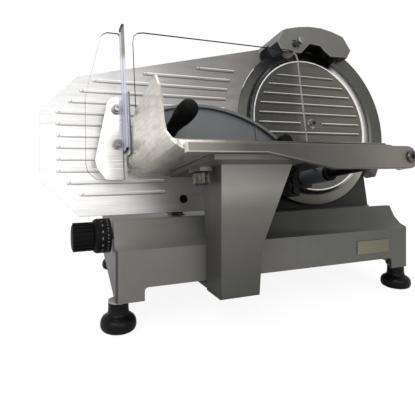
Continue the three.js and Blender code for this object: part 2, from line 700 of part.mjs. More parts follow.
function socketScrew(size, seat, shankLength) {
  const head = seat - (size.washerHeight ?? 0);
  const front = head - size.headHeight;
  const profile = [
    [0, front + size.socketDepth], [size.socketRadius, front + size.socketDepth], [size.socketRadius, front],
    [size.headRadius, front], [size.headRadius, head],
  ];
  if (size.washerRadius) profile.push([size.washerRadius, head], [size.washerRadius, seat]);
  profile.push([size.shankRadius, seat], [size.shankRadius, seat + shankLength], [0, seat + shankLength]);
  return turned(profile, shaftSides);
}
add(leaning, 'cover_bolt', socketScrew(coverBolt, cover.front - seatGap,
  tieRod.front - seatGap - cover.front), steel);

// Blade housing: the column behind the blade, its belt box and the seat of the ring guard.

const housingPlate = join(
  rod3(discRadius, housing.front, housing.plateRear, discSides),
  alongY(rectangle(housing.pedestalLeft, housing.pedestalRight, pedestalBottom, housing.pedestalTop),
    housing.front, housing.plateRear),
  alongY(sector(discRadius - cutOver, seatRadius, housing.seatStart, housing.seatEnd),
    housing.seatFront, housing.plateRear, { curveSegments: shaftSides }),
);
const boxOutline = (wall) => [
  [housing.boxLeft + wall, pedestalBottom], [housing.boxRight - wall, pedestalBottom],
  [housing.boxRight - wall, -housing.boxBend], [housing.boxBend - wall, housing.boxTop - wall],
  [-housing.boxBend + wall, housing.boxTop - wall], [housing.boxLeft + wall, -housing.boxBend / 2],
];
const beltBox = alongY(outline(boxOutline(0)), housing.plateRear - cutOver, housing.boxRear);
const beltRoom = alongY(outline(boxOutline(housing.wall)), housing.plateRear, housing.boxRear + cutOver);
const windowReach = stone.radius + housing.windowRoom;
const stoneWindow = alongY(
  rectangle(sharpener.rearStoneX - windowReach, sharpener.rearStoneX + windowReach, stoneZ - windowReach,
    seatRadius + cutOver),
  housing.front - cutOver,
  housing.plateRear + cutOver,
);
const housingBody = level(cut(
  join(housingPlate, beltBox),
  beltRoom,
  rod3(bearing.outerRadius + seatGap, housing.front - cutOver, housing.plateRear + cutOver, wheelSides),
  stoneWindow,
  alongY(sector(ringInner - cutOver, ringOuter + cutOver, ring.start - ring.endRoom, ring.end + ring.endRoom),
    housing.front - cutOver, housing.seatFront, { curveSegments: shaftSides }),
));
const farReach = base.right - base.left;
const overBase = (clearance) => alongZ(rectangle(-farReach, farReach, -farReach, farReach),
  base.topHeight + clearance, base.topHeight + farReach);
add(upright, 'blade_housing', common(housingBody, overBase(seatGap)), darkPaint);

const housingCoverFront = housing.boxRear + seatGap;
add(upright, 'belt_cover', common(level(cut(
  alongY(outline(boxOutline(0)), housingCoverFront, housingCoverFront + housing.coverThickness),
  rod3(motorPulley.shaftRadius + runningGap, housing.boxRear, housing.boxRear + housing.coverThickness * 2)
    .translate(motorPulley.x, 0, motorZ),
)), overBase(seatGap)), darkPaint);

add(leaning, 'ring_guard', cut(
  alongY(sector(ringInner, ringOuter, ring.start, ring.end), ring.front, ring.rear,
    { curveSegments: shaftSides }),
  rod3(bladeRadius + ring.bladeRoom, ring.grooveFront, ring.rear + cutOver, discSides),
), darkPaint);

// Belt drive

function beltLoop(growth, reverse) {
  const big = pulley.radius + seatGap + growth;
  const small = motorPulley.radius + seatGap + growth;
  const distance = Math.hypot(motorPulley.x, motorZ);
  const heading = Math.atan2(motorZ, motorPulley.x);
  const wrap = Math.acos((big - small) / distance);
  const path = reverse ? new THREE.Path() : new THREE.Shape();
  path.absarc(0, 0, big, heading + wrap, heading - wrap + 2 * Math.PI, false);
  path.absarc(motorPulley.x, motorZ, small, heading - wrap, heading + wrap, false);
  path.closePath();
  return path;
}
const beltShape = beltLoop(belt.thickness, false);
beltShape.holes.push(beltLoop(0, true));
add(leaning, 'drive_belt', alongY(beltShape, pulley.front + belt.side, pulley.rear - belt.side,
  { curveSegments: shaftSides }), rubber);

add(leaning, 'motor_pulley', turned([
  [0, pulley.front], [motorPulley.radius, pulley.front], [motorPulley.radius, pulley.rear],
  [motorPulley.shaftRadius, pulley.rear], [motorPulley.shaftRadius, motorPulley.shaftRear],
  [0, motorPulley.shaftRear],
], shaftSides).translate(motorPulley.x, 0, motorZ), steel);

const motorFins = fluted(motor.radius, motor.finDepth, motor.finCount);
add(leaning, 'motor', join(
  alongY(motorFins, motor.front, motor.rear),
  rod3(motor.frontBossRadius, motor.front - motor.frontBossLength, motor.front + cutOver),
).translate(motorPulley.x, 0, motorZ), steel);

const shellReach = motor.radius + motorShell.sideRoom;
const shellRear = base.rear - motorShell.rearInset;
const ventBottom = base.topHeight + motorShell.ventRise;
function shellOutline(wall) {
  const [left, right] = [motorPulley.x - shellReach + wall, motorPulley.x + shellReach - wall];
  const [bottom, top] = [base.topHeight - cutOver, base.topHeight + motorShell.crownRise - wall];
  const shape = new THREE.Shape();
  shape.moveTo(left, bottom);
  shape.lineTo(right, bottom);
  shape.lineTo(right, top - motorShell.crownRound);
  shape.quadraticCurveTo(right, top, right - motorShell.crownRound, top);
  shape.lineTo(left + motorShell.crownRound, top);
  shape.quadraticCurveTo(left, top, left, top - motorShell.crownRound);
  shape.closePath();
  return shape;
}
const vents = Array.from({ length: motorShell.ventCount }, (_, index) => {
  const x = motorPulley.x + (index - (motorShell.ventCount - 1) / 2) * motorShell.ventPitch;
  return alongY(rectangle(x - motorShell.ventWidth / 2, x + motorShell.ventWidth / 2, ventBottom,
    ventBottom + motorShell.ventHeight, motorShell.ventWidth / 2), shellRear - motorShell.wall * 2,
  shellRear + cutOver);
});
const beltCoverRear = housingCoverFront + housing.coverThickness + seatGap;
const behindBeltCover = level(alongY(rectangle(-farReach, farReach, -farReach, farReach), beltCoverRear,
  farReach));
add(upright, 'motor_shell', common(
  cut(
    alongY(shellOutline(0), motorShell.front, shellRear),
    alongY(shellOutline(motorShell.wall), motorShell.front - cutOver, shellRear - motorShell.wall),
    ...vents,
  ),
  common(behindBeltCover, overBase(seatGap)),
), paint);

// Thickness gauge: the plate, its bracket on a rod in the base, and the dial's shaft and slotted nut.

const mouthRadius = bladeRadius + gauge.mouthRoom;
const ribEndRadius = mouthRadius + gauge.ribMargin;
const screwZ = gaugeBottom + gauge.screwInset;
const mouth = rod3(mouthRadius, -gauge.thickness, gauge.thickness * 2, discSides);
const gaugeOutline = outline([
  [gauge.left, gauge.chamferBottom], [gauge.chamferX, gaugeBottom], [gauge.lowerRight, gaugeBottom],
  [gauge.lowerRight, 0], [gauge.crestX, 0], [gauge.crestX, gauge.crestTop],
  [gauge.chamferX, gauge.chamferTop],
  [gauge.left, gauge.top],
]);
const ribPitch = (gauge.ribTop - gaugeBottom - gauge.ribInset) / (ribLeftShares.length - 1);
const gaugeRibs = ribLeftShares.map((share, index) => {
  const left = gauge.left + share * (gauge.crestX - gauge.left);
  const z = gauge.ribTop - index * ribPitch;
  const right = index < gauge.shortRibFrom ? -Math.sqrt(ribEndRadius ** 2 - z ** 2) : gauge.shortRibRight;
  return rib(left, right, z, gauge.ribWidth, 0, gauge.ribRise, gauge.ribSlope);
});
add(leaning, 'gauge_plate', cut(
  join(alongY(gaugeOutline, 0, gauge.thickness), ...gaugeRibs),
  mouth,
  rod3(gaugeScrew.shankRadius + seatGap, -gauge.thickness, gauge.thickness * 2)
    .translate(gauge.screwX, 0, screwZ),
), brushed);

const bracketFront = gauge.thickness + seatGap;
const leaningBracket = join(
  alongY(rectangle(gaugeBracket.left, gaugeBracket.right, bracketBottom, bracketTop,
    base.cornerRound), bracketFront, bracketFront + gaugeBracket.thickness),
  alongX(outline([
    [bracketFront, bracketBottom + base.wall], [bracketFront + gaugeBracket.thickness, bracketTop],
    [gaugeBracket.ribRear, bracketBottom], [gaugeBracket.ribRear, guideZ],
    [gaugeBracket.sleeveFront, guideZ], [gaugeBracket.sleeveFront, bracketBottom],
    [bracketFront, bracketBottom],
  ]), gaugeBracket.guideX - gaugeBracket.ribWidth / 2, gaugeBracket.guideX + gaugeBracket.ribWidth / 2),
  rod3(gaugeBracket.sleeveRadius, gaugeBracket.sleeveFront, gaugeBracket.sleeveRear, knobSides)
    .translate(gaugeBracket.guideX, 0, guideZ),
);
const followerFront = base.front + gaugeBracket.armSetBack;
const followerRear = followerFront + gaugeBracket.armWidth;
const followerTop = base.topHeight - base.wall - gaugeBracket.topRoom;
const followerBottom = followerTop - gaugeBracket.armThickness;
const followerPinY = (followerFront + followerRear) / 2;
add(upright, 'gauge_bracket', cut(
  join(
    level(leaningBracket),
    alongZ(rectangle(gaugeBracket.pinX - gaugeBracket.armOver, gaugeBracket.guideX, followerFront,
      followerRear), followerBottom, followerTop),
    standing(rod3(gaugeBracket.pinRadius, followerBottom - gaugeBracket.pinLength, followerBottom + cutOver),
      gaugeBracket.pinX, followerPinY),
  ),
  gaugeRodAxis(gaugeRod.radius + runningGap, gaugeRod.front, gaugeRod.rear),
  level(rod3(gaugeScrew.shankRadius + seatGap, 0, bracketFront + gaugeBracket.thickness + cutOver)
    .translate(gauge.screwX, 0, screwZ)),
), steel);

add(upright, 'gauge_guide_rod', gaugeRodAxis(gaugeRod.radius, gaugeRod.front, gaugeRod.rear), steel);

add(leaning, 'gauge_screw', turned([
  [0, -gaugeScrew.headHeight - seatGap], [gaugeScrew.crownRadius, -gaugeScrew.headHeight - seatGap],
  [gaugeScrew.headRadius, -seatGap - gaugeScrew.headHeight / 2], [gaugeScrew.headRadius, -seatGap],
  [gaugeScrew.shankRadius, -seatGap], [gaugeScrew.shankRadius, bracketFront + gaugeBracket.thickness],
  [0, bracketFront + gaugeBracket.thickness],
], shaftSides).translate(gauge.screwX, 0, screwZ), black);

const dialBore = dial.shaftRadius + seatGap;
const facingX = (geometry) => placed(geometry, axisY, axisZ, axisX, 0, 0, 0);
const knobFloor = dial.knobLeft + dial.knobFloor;
add(upright, 'dial_knob', cut(
  facingX(extrude(fluted(dial.knobRadius, dial.gripDepth, dial.gripCount),
    dial.knobRight - dial.knobLeft - dial.gripDepth * 2, {
      bevelEnabled: true, bevelThickness: dial.gripDepth, bevelSize: dial.gripDepth,
        bevelOffset: -dial.gripDepth, bevelSegments: 1,
    })).translate(dial.knobLeft + dial.gripDepth, dialY, dialZ),
  lyingX(rod3(dialBore, knobFloor, dial.knobRight + cutOver), dialY, dialZ),
), black);
add(upright, 'dial_collar', lyingX(turned([
  [dialBore, dial.knobRight + seatGap], [dial.collarRadius - dial.collarStep, dial.knobRight + seatGap],
  [dial.collarRadius, dial.knobRight + dial.collarStep], [dial.collarRadius, dial.collarRight],
  [dialBore, dial.collarRight], [dialBore, dial.knobRight + seatGap],
], wheelSides), dialY, dialZ), black);
add(upright, 'dial_shaft', lyingX(rod3(dial.shaftRadius, knobFloor + seatGap,
  dial.shaftRight), dialY, dialZ), steel);

const nutPlateTop = followerBottom - nut.plateGap;
const slotHalf = gaugeBracket.pinRadius + nut.slotClearance;
const slotRise = gaugeTravel * Math.cos(bladeTilt);
const slotLength = Math.hypot(nut.travel, slotRise);
const slotAngle = Math.atan2(slotRise, -nut.travel);
const slot = alongZ(
  stadium(-slotHalf, slotLength + slotHalf, 0, slotHalf * 2),
  nutPlateTop - nut.plateThickness - cutOver,
  nutPlateTop + cutOver,
).rotateZ(slotAngle).translate(gaugeBracket.pinX, followerPinY, 0);
add(upright, 'thickness_nut', cut(
  join(
    alongX(rectangle(dialY - nut.halfDepth, dialY + nut.halfDepth, dialZ - nut.below, followerTop), nut.left,
      nut.right),
    alongZ(rectangle(nut.plateLeft, nut.plateRight, dialY, dialY + nut.plateReach, base.cornerRound),
      nutPlateTop - nut.plateThickness, nutPlateTop),
  ),
  lyingX(rod3(dial.shaftRadius + runningGap, nut.plateLeft - cutOver, nut.plateRight + cutOver), dialY,
    dialZ),
  slot,
), steel);

// Carriage: the arm that passes under the skirt of the base and slides on a rod inside it.

add(upright, 'slide_rod', lyingX(rod3(slide.rodRadius, slideLeft + seatGap, slideRight - seatGap, knobSides),
  slideY,
  slideZ), steel);
add(upright, 'guide_rail', alongX(rectangle(railFrontY, railFrontY + rail.width, railTopZ - rail.height,
  railTopZ),
  leftAt(railFrontY + rail.width) + base.wall + seatGap, base.right - base.wall - seatGap), steel);

const armTop = bladeAxisHeight - tray.sheet;
const armOutline = [
  [arm.left, armBottom], [arm.bottomRight, armBottom], [arm.kneeRight, kneeHeight],
  [arm.topRight + arm.topFlare, armTop], [arm.left, armTop],
];
const armShell = cut(
  alongY(outline(armOutline), armFront, armRear, { bevelEnabled: true, bevelThickness: arm.edgeRound / 2,
    bevelSize: arm.edgeRound / 2, bevelOffset: -arm.edgeRound / 2, bevelSegments: 2,
    depth: arm.depth - arm.edgeRound }).translate(0, -arm.edgeRound / 2, 0),
  alongY(outline(inset(armOutline, arm.wall)), armFront + arm.wall, armRear + cutOver),
);
const saddleTop = trayBottom - seatGap;
const bossBottom = saddleTop - arm.bossLength;
const saddle = level(alongZ(
  rectangle(arm.saddleLeft, arm.saddleRight, arm.saddleFront, arm.saddleRear, arm.saddleRound),
  saddleTop - arm.saddleThickness,
  saddleTop,
));
const saddleBoss = level(standing(rod3(arm.bossRadius, bossBottom, saddleTop - cutOver, knobSides),
  clampKnob.x,
  clampKnob.y));
const underTable = level(alongZ(rectangle(-farReach, farReach, -farReach, farReach), -farReach, saddleTop));
const tongue = alongX(rectangle(armFront + arm.edgeRound, blockRear, armBottom + arm.edgeRound / 2,
  tongueTop), arm.left, arm.bottomRight);
const block = alongX(rectangle(blockFront, blockRear, slideZ - slide.blockBelow, slideZ + slide.blockAbove,
  arm.edgeRound),
  slide.blockLeft, slide.blockRight);
const blockFoot = alongX(rectangle(blockFront, blockRear, armBottom + arm.edgeRound / 2,
  slideZ - slide.blockBelow + arm.edgeRound), arm.left, arm.bottomRight);
const sideRib = alongX(outline([
  [armRear - cutOver, kneeHeight + arm.edgeRound], [armRear - cutOver, bladeAxisHeight],
  [armRear + arm.ribReach, bladeAxisHeight],
]), arm.left, arm.left + arm.ribThickness);
const rollerRear = railFrontY + roller.length;
const rollerZ = railTopZ + roller.radius + seatGap;
const axle = rod3(roller.axleRadius, blockRear - cutOver, rollerRear + seatGap * 2)
  .translate(roller.x, 0, rollerZ);
add(upright, 'carriage_arm', cut(
  common(join(armShell, saddle, saddleBoss, tongue, block, blockFoot, sideRib, axle), underTable),
  lyingX(rod3(slide.rodRadius + runningGap, slide.blockLeft - cutOver, slide.blockRight + cutOver,
    knobSides), slideY,
    slideZ),
  level(standing(rod3(clampKnob.studRadius + runningGap, bossBottom - cutOver, saddleTop + cutOver),
    clampKnob.x,
    clampKnob.y)),
), paint);

add(upright, 'guide_roller', tube3(roller.axleRadius + runningGap, roller.radius, railFrontY, rollerRear,
  knobSides).translate(roller.x, 0, rollerZ), black);

const knobTop = bossBottom - seatGap;
add(leaning, 'clamp_knob', join(
  extrude(fluted(clampKnob.radius, clampKnob.knurlDepth, clampKnob.knurlCount),
    clampKnob.height - clampKnob.chamfer * 2, {
    bevelEnabled: true, bevelThickness: clampKnob.chamfer, bevelSize: clampKnob.chamfer,
    bevelOffset: -clampKnob.chamfer, bevelSegments: 1,
  }).translate(clampKnob.x, clampKnob.y, knobTop - clampKnob.height + clampKnob.chamfer),
  standing(rod3(clampKnob.studRadius, knobTop - cutOver, saddleTop - seatGap), clampKnob.x, clampKnob.y),
), chrome);

// Food table: one polished sheet with a rounded left bend and a fin, and the cast rail along its front.

const finTop = trayTop + tray.finHeight + tray.finMargin;
function trayPlan(wall) {
  const shape = new THREE.Shape();
  const far = wall > 0 ? cutOver : 0;
  shape.moveTo(tray.right + far, tray.front + wall);
  shape.lineTo(tray.right + far, tray.rear + far);
  shape.lineTo(tray.left + wall, tray.rear + far);
  shape.lineTo(tray.left + wall, tray.front + tray.cornerRadius);
  shape.quadraticCurveTo(tray.left + wall, tray.front + wall, tray.left + tray.cornerRadius,
    tray.front + wall);
  shape.closePath();
  return shape;
}
function traySection(wall) {
  const shape = new THREE.Shape();
  const bottom = trayBottom + wall;
  shape.moveTo(tray.right + cutOver * 2, bottom);
  shape.lineTo(tray.right + cutOver * 2, finTop + wall);
  shape.lineTo(tray.left + wall, finTop + wall);
  shape.lineTo(tray.left + wall, trayBottom + tray.bendRadius);
  shape.absarc(tray.left + tray.bendRadius, trayBottom + tray.bendRadius, tray.bendRadius - wall, Math.PI,
    1.5 * Math.PI, false);
  shape.closePath();
  return shape;
}
const traySolid = (wall) => common(
  alongZ(trayPlan(wall), trayBottom + wall, finTop + wall),
  alongY(traySection(wall), tray.front - cutOver, tray.rear + cutOver * 2, { curveSegments: arcSteps * 2 }),
);
const fin = spread(finShares, tray.rear, trayTop, tray.front - tray.rear, tray.finHeight);
const finCut = alongX(
  outline([[tray.rear, trayBottom - cutOver], ...fin, [tray.front - tray.cornerRadius, fin.at(-1)[1]],
    [tray.front - tray.cornerRadius, trayBottom - cutOver]]),
  tray.left - cutOver,
  tray.right + cutOver,
);
add(leaning, 'table_tray', common(cut(traySolid(0), traySolid(tray.sheet)), finCut), polished);

const railRear = tray.front - seatGap;
const railFront = railRear - frontRail.thickness;
const railShape = new THREE.Shape();
railShape.moveTo(frontRail.left, railTop - frontRail.leftDepth);
railShape.lineTo(frontRail.taperLeft, railTop - frontRail.leftDepth);
railShape.lineTo(frontRail.taperRight, railTop - frontRail.rightDepth);
railShape.lineTo(rod.x, rodZ - rod.lugRadius);
railShape.absarc(rod.x, rodZ, rod.lugRadius, -Math.PI / 2, Math.PI / 2, false);
railShape.lineTo(frontRail.notchX, rodZ + rod.lugRadius);
railShape.lineTo(frontRail.stepX, railTop + frontRail.stepRise);
railShape.lineTo(frontRail.left, railTop);
railShape.closePath();
const screwRecess = railScrew.shankRadius + seatGap;
add(leaning, 'front_rail', cut(
  join(
    alongY(railShape, railFront + frontRail.bevel, railRear, {
      curveSegments: arcSteps * 2, bevelEnabled: true, bevelThickness: frontRail.bevel,
        bevelSize: frontRail.bevel,
      bevelOffset: -frontRail.bevel, bevelSegments: 1, depth: frontRail.thickness - frontRail.bevel * 2,
    }).translate(0, -frontRail.bevel, 0),
    rod3(rod.lugRadius, railRear - cutOver * 2, railRear + frontRail.bossLength, knobSides).translate(rod.x,
      0, rodZ),
  ),
  rod3(screwRecess, railFront - cutOver, railRear + frontRail.bossLength + cutOver, shaftSides)
    .translate(rod.x, 0, rodZ),
), paint);

const rodFront = railRear + frontRail.bossLength + seatGap;
add(leaning, 'rail_screw', socketScrew(railScrew, railFront - seatGap, rodFront - railFront)
  .translate(rod.x, 0, rodZ), steel);

add(leaning, 'pusher_rod', rod3(rod.radius, rodFront, rod.rear, knobSides).translate(rod.x, 0, rodZ), chrome);

const bracketPlate = alongY(
  rectangle(rod.x - rearBracket.halfWidth, rod.x + rearBracket.halfWidth, rodZ - rearBracket.below,
    rodZ + rearBracket.above, rearBracket.round),
  rearBracket.plateFront,
  rearBracket.rear,
);
const bracketLeg = alongY(
  rectangle(rearBracket.legLeft, rearBracket.legRight, rodZ - rearBracket.legBelow, trayBottom - seatGap,
    base.windowRound / 2),
  rearBracket.front,
  rearBracket.rear,
);
const bracketWeb = alongY(
  rectangle(rearBracket.legRight - rearBracket.round, rod.x, rodZ - rearBracket.below,
  rodZ + rearBracket.webAbove),
  rearBracket.plateFront,
  rearBracket.rear,
);
const bracketBolts = [rearBracket.upperBoltBelow, rearBracket.lowerBoltBelow].map(
  (below) => rod3(rearBracket.boltRadius, rearBracket.front - rearBracket.boltHead,
    rearBracket.front + cutOver)
    .translate(rearBracket.boltX, 0, rodZ - below),
);
add(leaning, 'rod_bracket', cut(
  join(bracketPlate, bracketLeg, bracketWeb, ...bracketBolts),
  rod3(rod.radius + seatGap, rearBracket.plateFront - cutOver, rearBracket.rear + cutOver, knobSides)
    .translate(rod.x, 0, rodZ),
), darkPaint);

// Pusher: a bush slides on the rod and the casting with the plate swings round the bush.

const collarRear = pusher.hubFront - seatGap;
add(leaning, 'pusher_bush', turned([
  [rod.radius + runningGap, sleeve.rear], [sleeve.outerRadius, sleeve.rear], [sleeve.outerRadius, collarRear],
  [sleeve.collarRadius, collarRear], [sleeve.collarRadius, collarRear - sleeve.collarLength],
  [rod.radius + runningGap, collarRear - sleeve.collarLength], [rod.radius + runningGap, sleeve.rear],
], knobSides).translate(rod.x, 0, rodZ), black);

const plateFront = pusher.plateRear - pusher.plateThickness;
const handleZ = trayTop + handle.footHeight;
const lockZ = trayTop + pusherKnob.height;
const arcHeight = (x, radius) => arcZ + Math.sqrt(radius ** 2 - (x - pusher.crestX) ** 2);
const pusherEnd = pusherBottom + pusher.endHeight - arcZ;
const pusherRight = pusher.crestX + Math.sqrt(pusher.arcRadius ** 2 - pusherEnd ** 2);
function pusherShape(margin) {
  const radius = pusher.arcRadius - margin;
  const left = pusher.left + margin;
  const right = pusherRight - margin;
  const shape = new THREE.Shape();
  shape.moveTo(left, pusherBottom);
  shape.lineTo(right, pusherBottom);
  shape.lineTo(right, arcHeight(right, radius));
  const from = Math.atan2(arcHeight(right, radius) - arcZ, right - pusher.crestX);
  const to = Math.atan2(arcHeight(left, radius) - arcZ, left - pusher.crestX);
  shape.absarc(pusher.crestX, arcZ, radius, from, to, false);
  shape.closePath();
  return shape;
}
const arcDetail = { curveSegments: shaftSides };
const pusherPlate = alongY(pusherShape(0), plateFront, pusher.plateRear, arcDetail);
const pusherRim = cut(
  alongY(pusherShape(0), pusher.plateRear - pusher.rimDepth, pusher.plateRear, arcDetail),
  alongY(pusherShape(pusher.rimWidth), pusher.plateRear - pusher.rimDepth - cutOver,
    pusher.plateRear + cutOver,
    arcDetail),
  alongY(rectangle(pusher.left - cutOver, pusherRight + cutOver, pusherBottom - cutOver,
    pusherBottom + pusher.rimWidth), pusher.plateRear - pusher.rimDepth - cutOver,
      pusher.plateRear + cutOver),
);
const pusherBeam = alongY(outline([
  [pusherRight - pusher.rimWidth * 2, pusherBottom], [tray.right, pusherBottom], [rod.x, rodZ],
  [rod.x, rodZ + pusher.hubRadius], [pusherRight - pusher.rimWidth * 2, pusherBottom + pusher.beamHeight],
]), plateFront - pusher.rimDepth / 2, pusher.plateRear);
const pusherFold = alongY(
  rectangle(pusher.foldX - pusher.foldWidth / 2, pusher.foldX + pusher.foldWidth / 2,
  pusherBottom + pusher.rimWidth,
    arcHeight(pusher.foldX, pusher.arcRadius) - pusher.rimWidth / 2),
  plateFront - pusher.foldDepth,
  plateFront + pusher.plateThickness / 2,
);
const knobBore = pusherKnob.shankRadius + runningGap;
add(leaning, 'pusher_plate', cut(
  join(
    pusherPlate, pusherRim, pusherBeam, pusherFold,
    rod3(pusher.hubRadius, pusher.hubFront, pusher.hubRear, knobSides).translate(rod.x, 0, rodZ),
    rod3(pusher.handleBossRadius, plateFront - pusher.handleBossLength, pusher.plateRear, knobSides)
      .translate(handle.footX, 0, handleZ),
    rod3(pusherKnob.bossRadius, pusher.plateRear - pusher.rimDepth, pusher.plateRear)
      .translate(pusherKnob.x, 0, lockZ),
  ),
  rod3(sleeve.outerRadius + runningGap, pusher.hubFront - cutOver, pusher.hubRear + cutOver, knobSides)
    .translate(rod.x, 0, rodZ),
  rod3(knobBore, pusher.plateRear - pusher.rimDepth - cutOver, pusher.plateRear + cutOver)
    .translate(pusherKnob.x, 0, lockZ),
), blueGrey);

const shieldFront = pusher.plateRear + seatGap;
const shieldBottom = trayTop + shield.tableRoom;
add(leaning, 'clear_shield', cut(
  alongY(rectangle(shield.left, shield.right, shieldBottom, shieldBottom + shield.height, shield.round),
    shieldFront,
    shieldFront + shield.thickness),
  rod3(knobBore, pusher.plateRear - cutOver, shieldFront + shield.thickness + cutOver)
    .translate(pusherKnob.x, 0, lockZ),
), clear);

const handleFootY = plateFront - pusher.handleBossLength - seatGap;
const handleLean = new THREE.Vector3(handle.leanX, handle.leanY, handle.leanZ).normalize();
const handleBody = turned([
  [0, 0], [handle.neckRadius, 0], [handle.waistRadius, handle.waistAt], [handle.gripRadius, handle.swellAt],
  [handle.gripRadius, handle.gripEnd], [handle.crownRadius, handle.crownAt],
  [handle.tipRadius, handle.tipAt], [0, handle.length],
], knobSides).applyQuaternion(new THREE.Quaternion().setFromUnitVectors(axisY, handleLean));
const handleRoot = rod3(handle.neckRadius, handleFootY - handle.waistAt, handleFootY, knobSides)
  .translate(handle.footX, 0, handleZ);
add(leaning, 'pusher_handle', common(
  join(handleRoot, handleBody.translate(handle.footX, handleFootY - handle.waistAt / 2, handleZ)),
  alongY(rectangle(-farReach, farReach, -farReach, farReach), -farReach, handleFootY),
), black);

const knobSeat = pusher.plateRear - pusher.rimDepth - seatGap;
add(leaning, 'pusher_knob', join(
  alongY(fluted(pusherKnob.radius, pusherKnob.lobeDepth, pusherKnob.lobeCount),
    knobSeat - pusherKnob.length, knobSeat, {
      bevelEnabled: true, bevelThickness: pusherKnob.lobeDepth, bevelSize: pusherKnob.lobeDepth,
      bevelOffset: -pusherKnob.lobeDepth, bevelSegments: 1,
        depth: pusherKnob.length - pusherKnob.lobeDepth * 2,
    }).translate(0, -pusherKnob.lobeDepth, 0),
  rod3(pusherKnob.shankRadius, knobSeat - cutOver, shieldFront + shield.thickness),
).translate(pusherKnob.x, 0, lockZ), black);

// Clear hand guard on the tray's left wall, with its bracket and two screws.

const guardRear = guard.front + guard.thickness;
const legOuter = tray.left - guardBracket.wallGap - guardBracket.thickness;
const stripRight = guard.stripLeft + guard.thickness;
const guardOutline = spread(guardShares, guard.stripLeft - guard.width, trayTop - guard.below, guard.width,
  guard.height);
const guardScrewZ = [trayTop + guardScrew.upperAbove, trayTop + guardScrew.lowerAbove];
const guardHoles = (from, to) => guardScrewZ.map(
  (z) => rod3(guardScrew.shankRadius + seatGap, from, to).translate(guardScrew.x, 0, z),
);
add(leaning, 'hand_guard', cut(
  join(
    alongY(rounded(guardOutline, guard.round), guard.front, guardRear),
    alongX(rectangle(guard.stripFront, guardRear, trayTop + guard.stripBelow, trayTop + guard.stripAbove,
      guard.thickness),
      guard.stripLeft, stripRight),
  ),
  ...guardHoles(guard.front - cutOver, guardRear + cutOver),
), clear);

const guardBracketLeft = legOuter + guardBracket.thickness / 2 - guardBracket.width;
const guardBracketOutline = spread(guardBracketShares, guardBracketLeft, trayTop - guardBracket.below,
  guardBracket.width, guardBracket.height);
const bracketPlateFront = guardRear + seatGap;
const bracketPlateRear = bracketPlateFront + guardBracket.thickness;
add(leaning, 'guard_bracket', cut(
  join(
    alongY(rounded(guardBracketOutline, guardBracket.round), bracketPlateFront, bracketPlateRear),
    alongX(rectangle(guardBracket.legFront, bracketPlateRear, trayTop + guardBracket.legBelow,
      trayTop + guardBracket.legAbove, guardBracket.round), legOuter, legOuter + guardBracket.thickness),
  ),
  ...guardHoles(bracketPlateFront - cutOver, bracketPlateRear + cutOver),
), polished);

for (const [index, name] of ['guard_screw_upper', 'guard_screw_lower'].entries()) {
  add(leaning, name, socketScrew(guardScrew, guard.front - seatGap, bracketPlateRear - guard.front)
    .translate(guardScrew.x, 0, guardScrewZ[index]), steel);
}

// Sharpener: a hood that lifts on a post, with a stone and a push button on each side of the blade.

const hoodOutline = spread(hoodShares, sharpener.left, hoodBottom, sharpener.width, sharpener.height);
const hoodInside = inset(hoodOutline, sharpener.wall);
const reliefInner = bladeRadius - sharpener.discLap;
const hood = cut(
  join(
    alongY(outline(hoodOutline), sharpener.front, sharpener.rear, {
      bevelEnabled: true, bevelThickness: sharpener.bevel, bevelSize: sharpener.bevel,
      bevelOffset: -sharpener.bevel, bevelSegments: 2,
        depth: sharpener.rear - sharpener.front - sharpener.bevel * 2,
    }).translate(0, -sharpener.bevel, 0),
  ),
  alongY(outline(hoodInside), sharpener.front + sharpener.wall, sharpener.rear - sharpener.wall),
  alongY(rectangle(sharpener.throatLeft, sharpener.throatRight, 0, throatTop),
    sharpener.front + sharpener.wall, sharpener.rear - sharpener.wall),
  alongY(sector(reliefInner, seatRadius + sharpener.seatRoom, sharpener.reliefStart, sharpener.reliefEnd),
    sharpener.reliefFront, housing.plateRear + sharpener.reliefRearRoom, { curveSegments: shaftSides }),
  alongY(sector(reliefInner, ringOuter + sharpener.ringRoom, sharpener.reliefStart,
    ring.end + sharpener.ringEndRoom),
    ring.front - sharpener.ringFrontRoom, ring.rear + sharpener.ringRearRoom, { curveSegments: shaftSides }),
  rod3(sharpener.holeRadius, sharpener.front - cutOver, sharpener.front + sharpener.wall + cutOver)
    .translate(sharpener.stoneX, 0, stoneZ),
  rod3(stone.shaftRadius + runningGap, sharpener.rear - sharpener.wall - cutOver, sharpener.rear + cutOver)
    .translate(sharpener.rearStoneX, 0, stoneZ),
);
const hoodCollar = standing(
  rod3(sharpener.collarRadius, postBase + sharpener.collarGap, postTop + sharpener.wall, knobSides),
  sharpener.postX,
  sharpener.postY,
);
const honeBushFront = sharpener.front + sharpener.wall - sharpener.bevel / 4;
const honeBush = tube3(stone.shaftRadius + runningGap, sharpener.bushRadius, honeBushFront,
  honeBushFront + sharpener.bushLength).translate(sharpener.stoneX, 0, stoneZ);
add(leaning, 'sharpener_hood', cut(
  join(hood, hoodCollar, honeBush),
  standing(rod3(sharpener.postRadius + runningGap, 0, postTop + runningGap), sharpener.postX,
    sharpener.postY),
), paint);

add(leaning, 'sharpener_post', join(
  alongZ(rectangle(sharpenerBracket.left, sharpenerBracket.right, sharpenerBracket.front,
    sharpenerBracket.rear,
    base.windowRound), bladeRadius - sharpenerBracket.lap, postBase),
  standing(rod3(sharpener.postRadius, postBase - cutOver, postTop), sharpener.postX,
    sharpener.postY),
), steel);

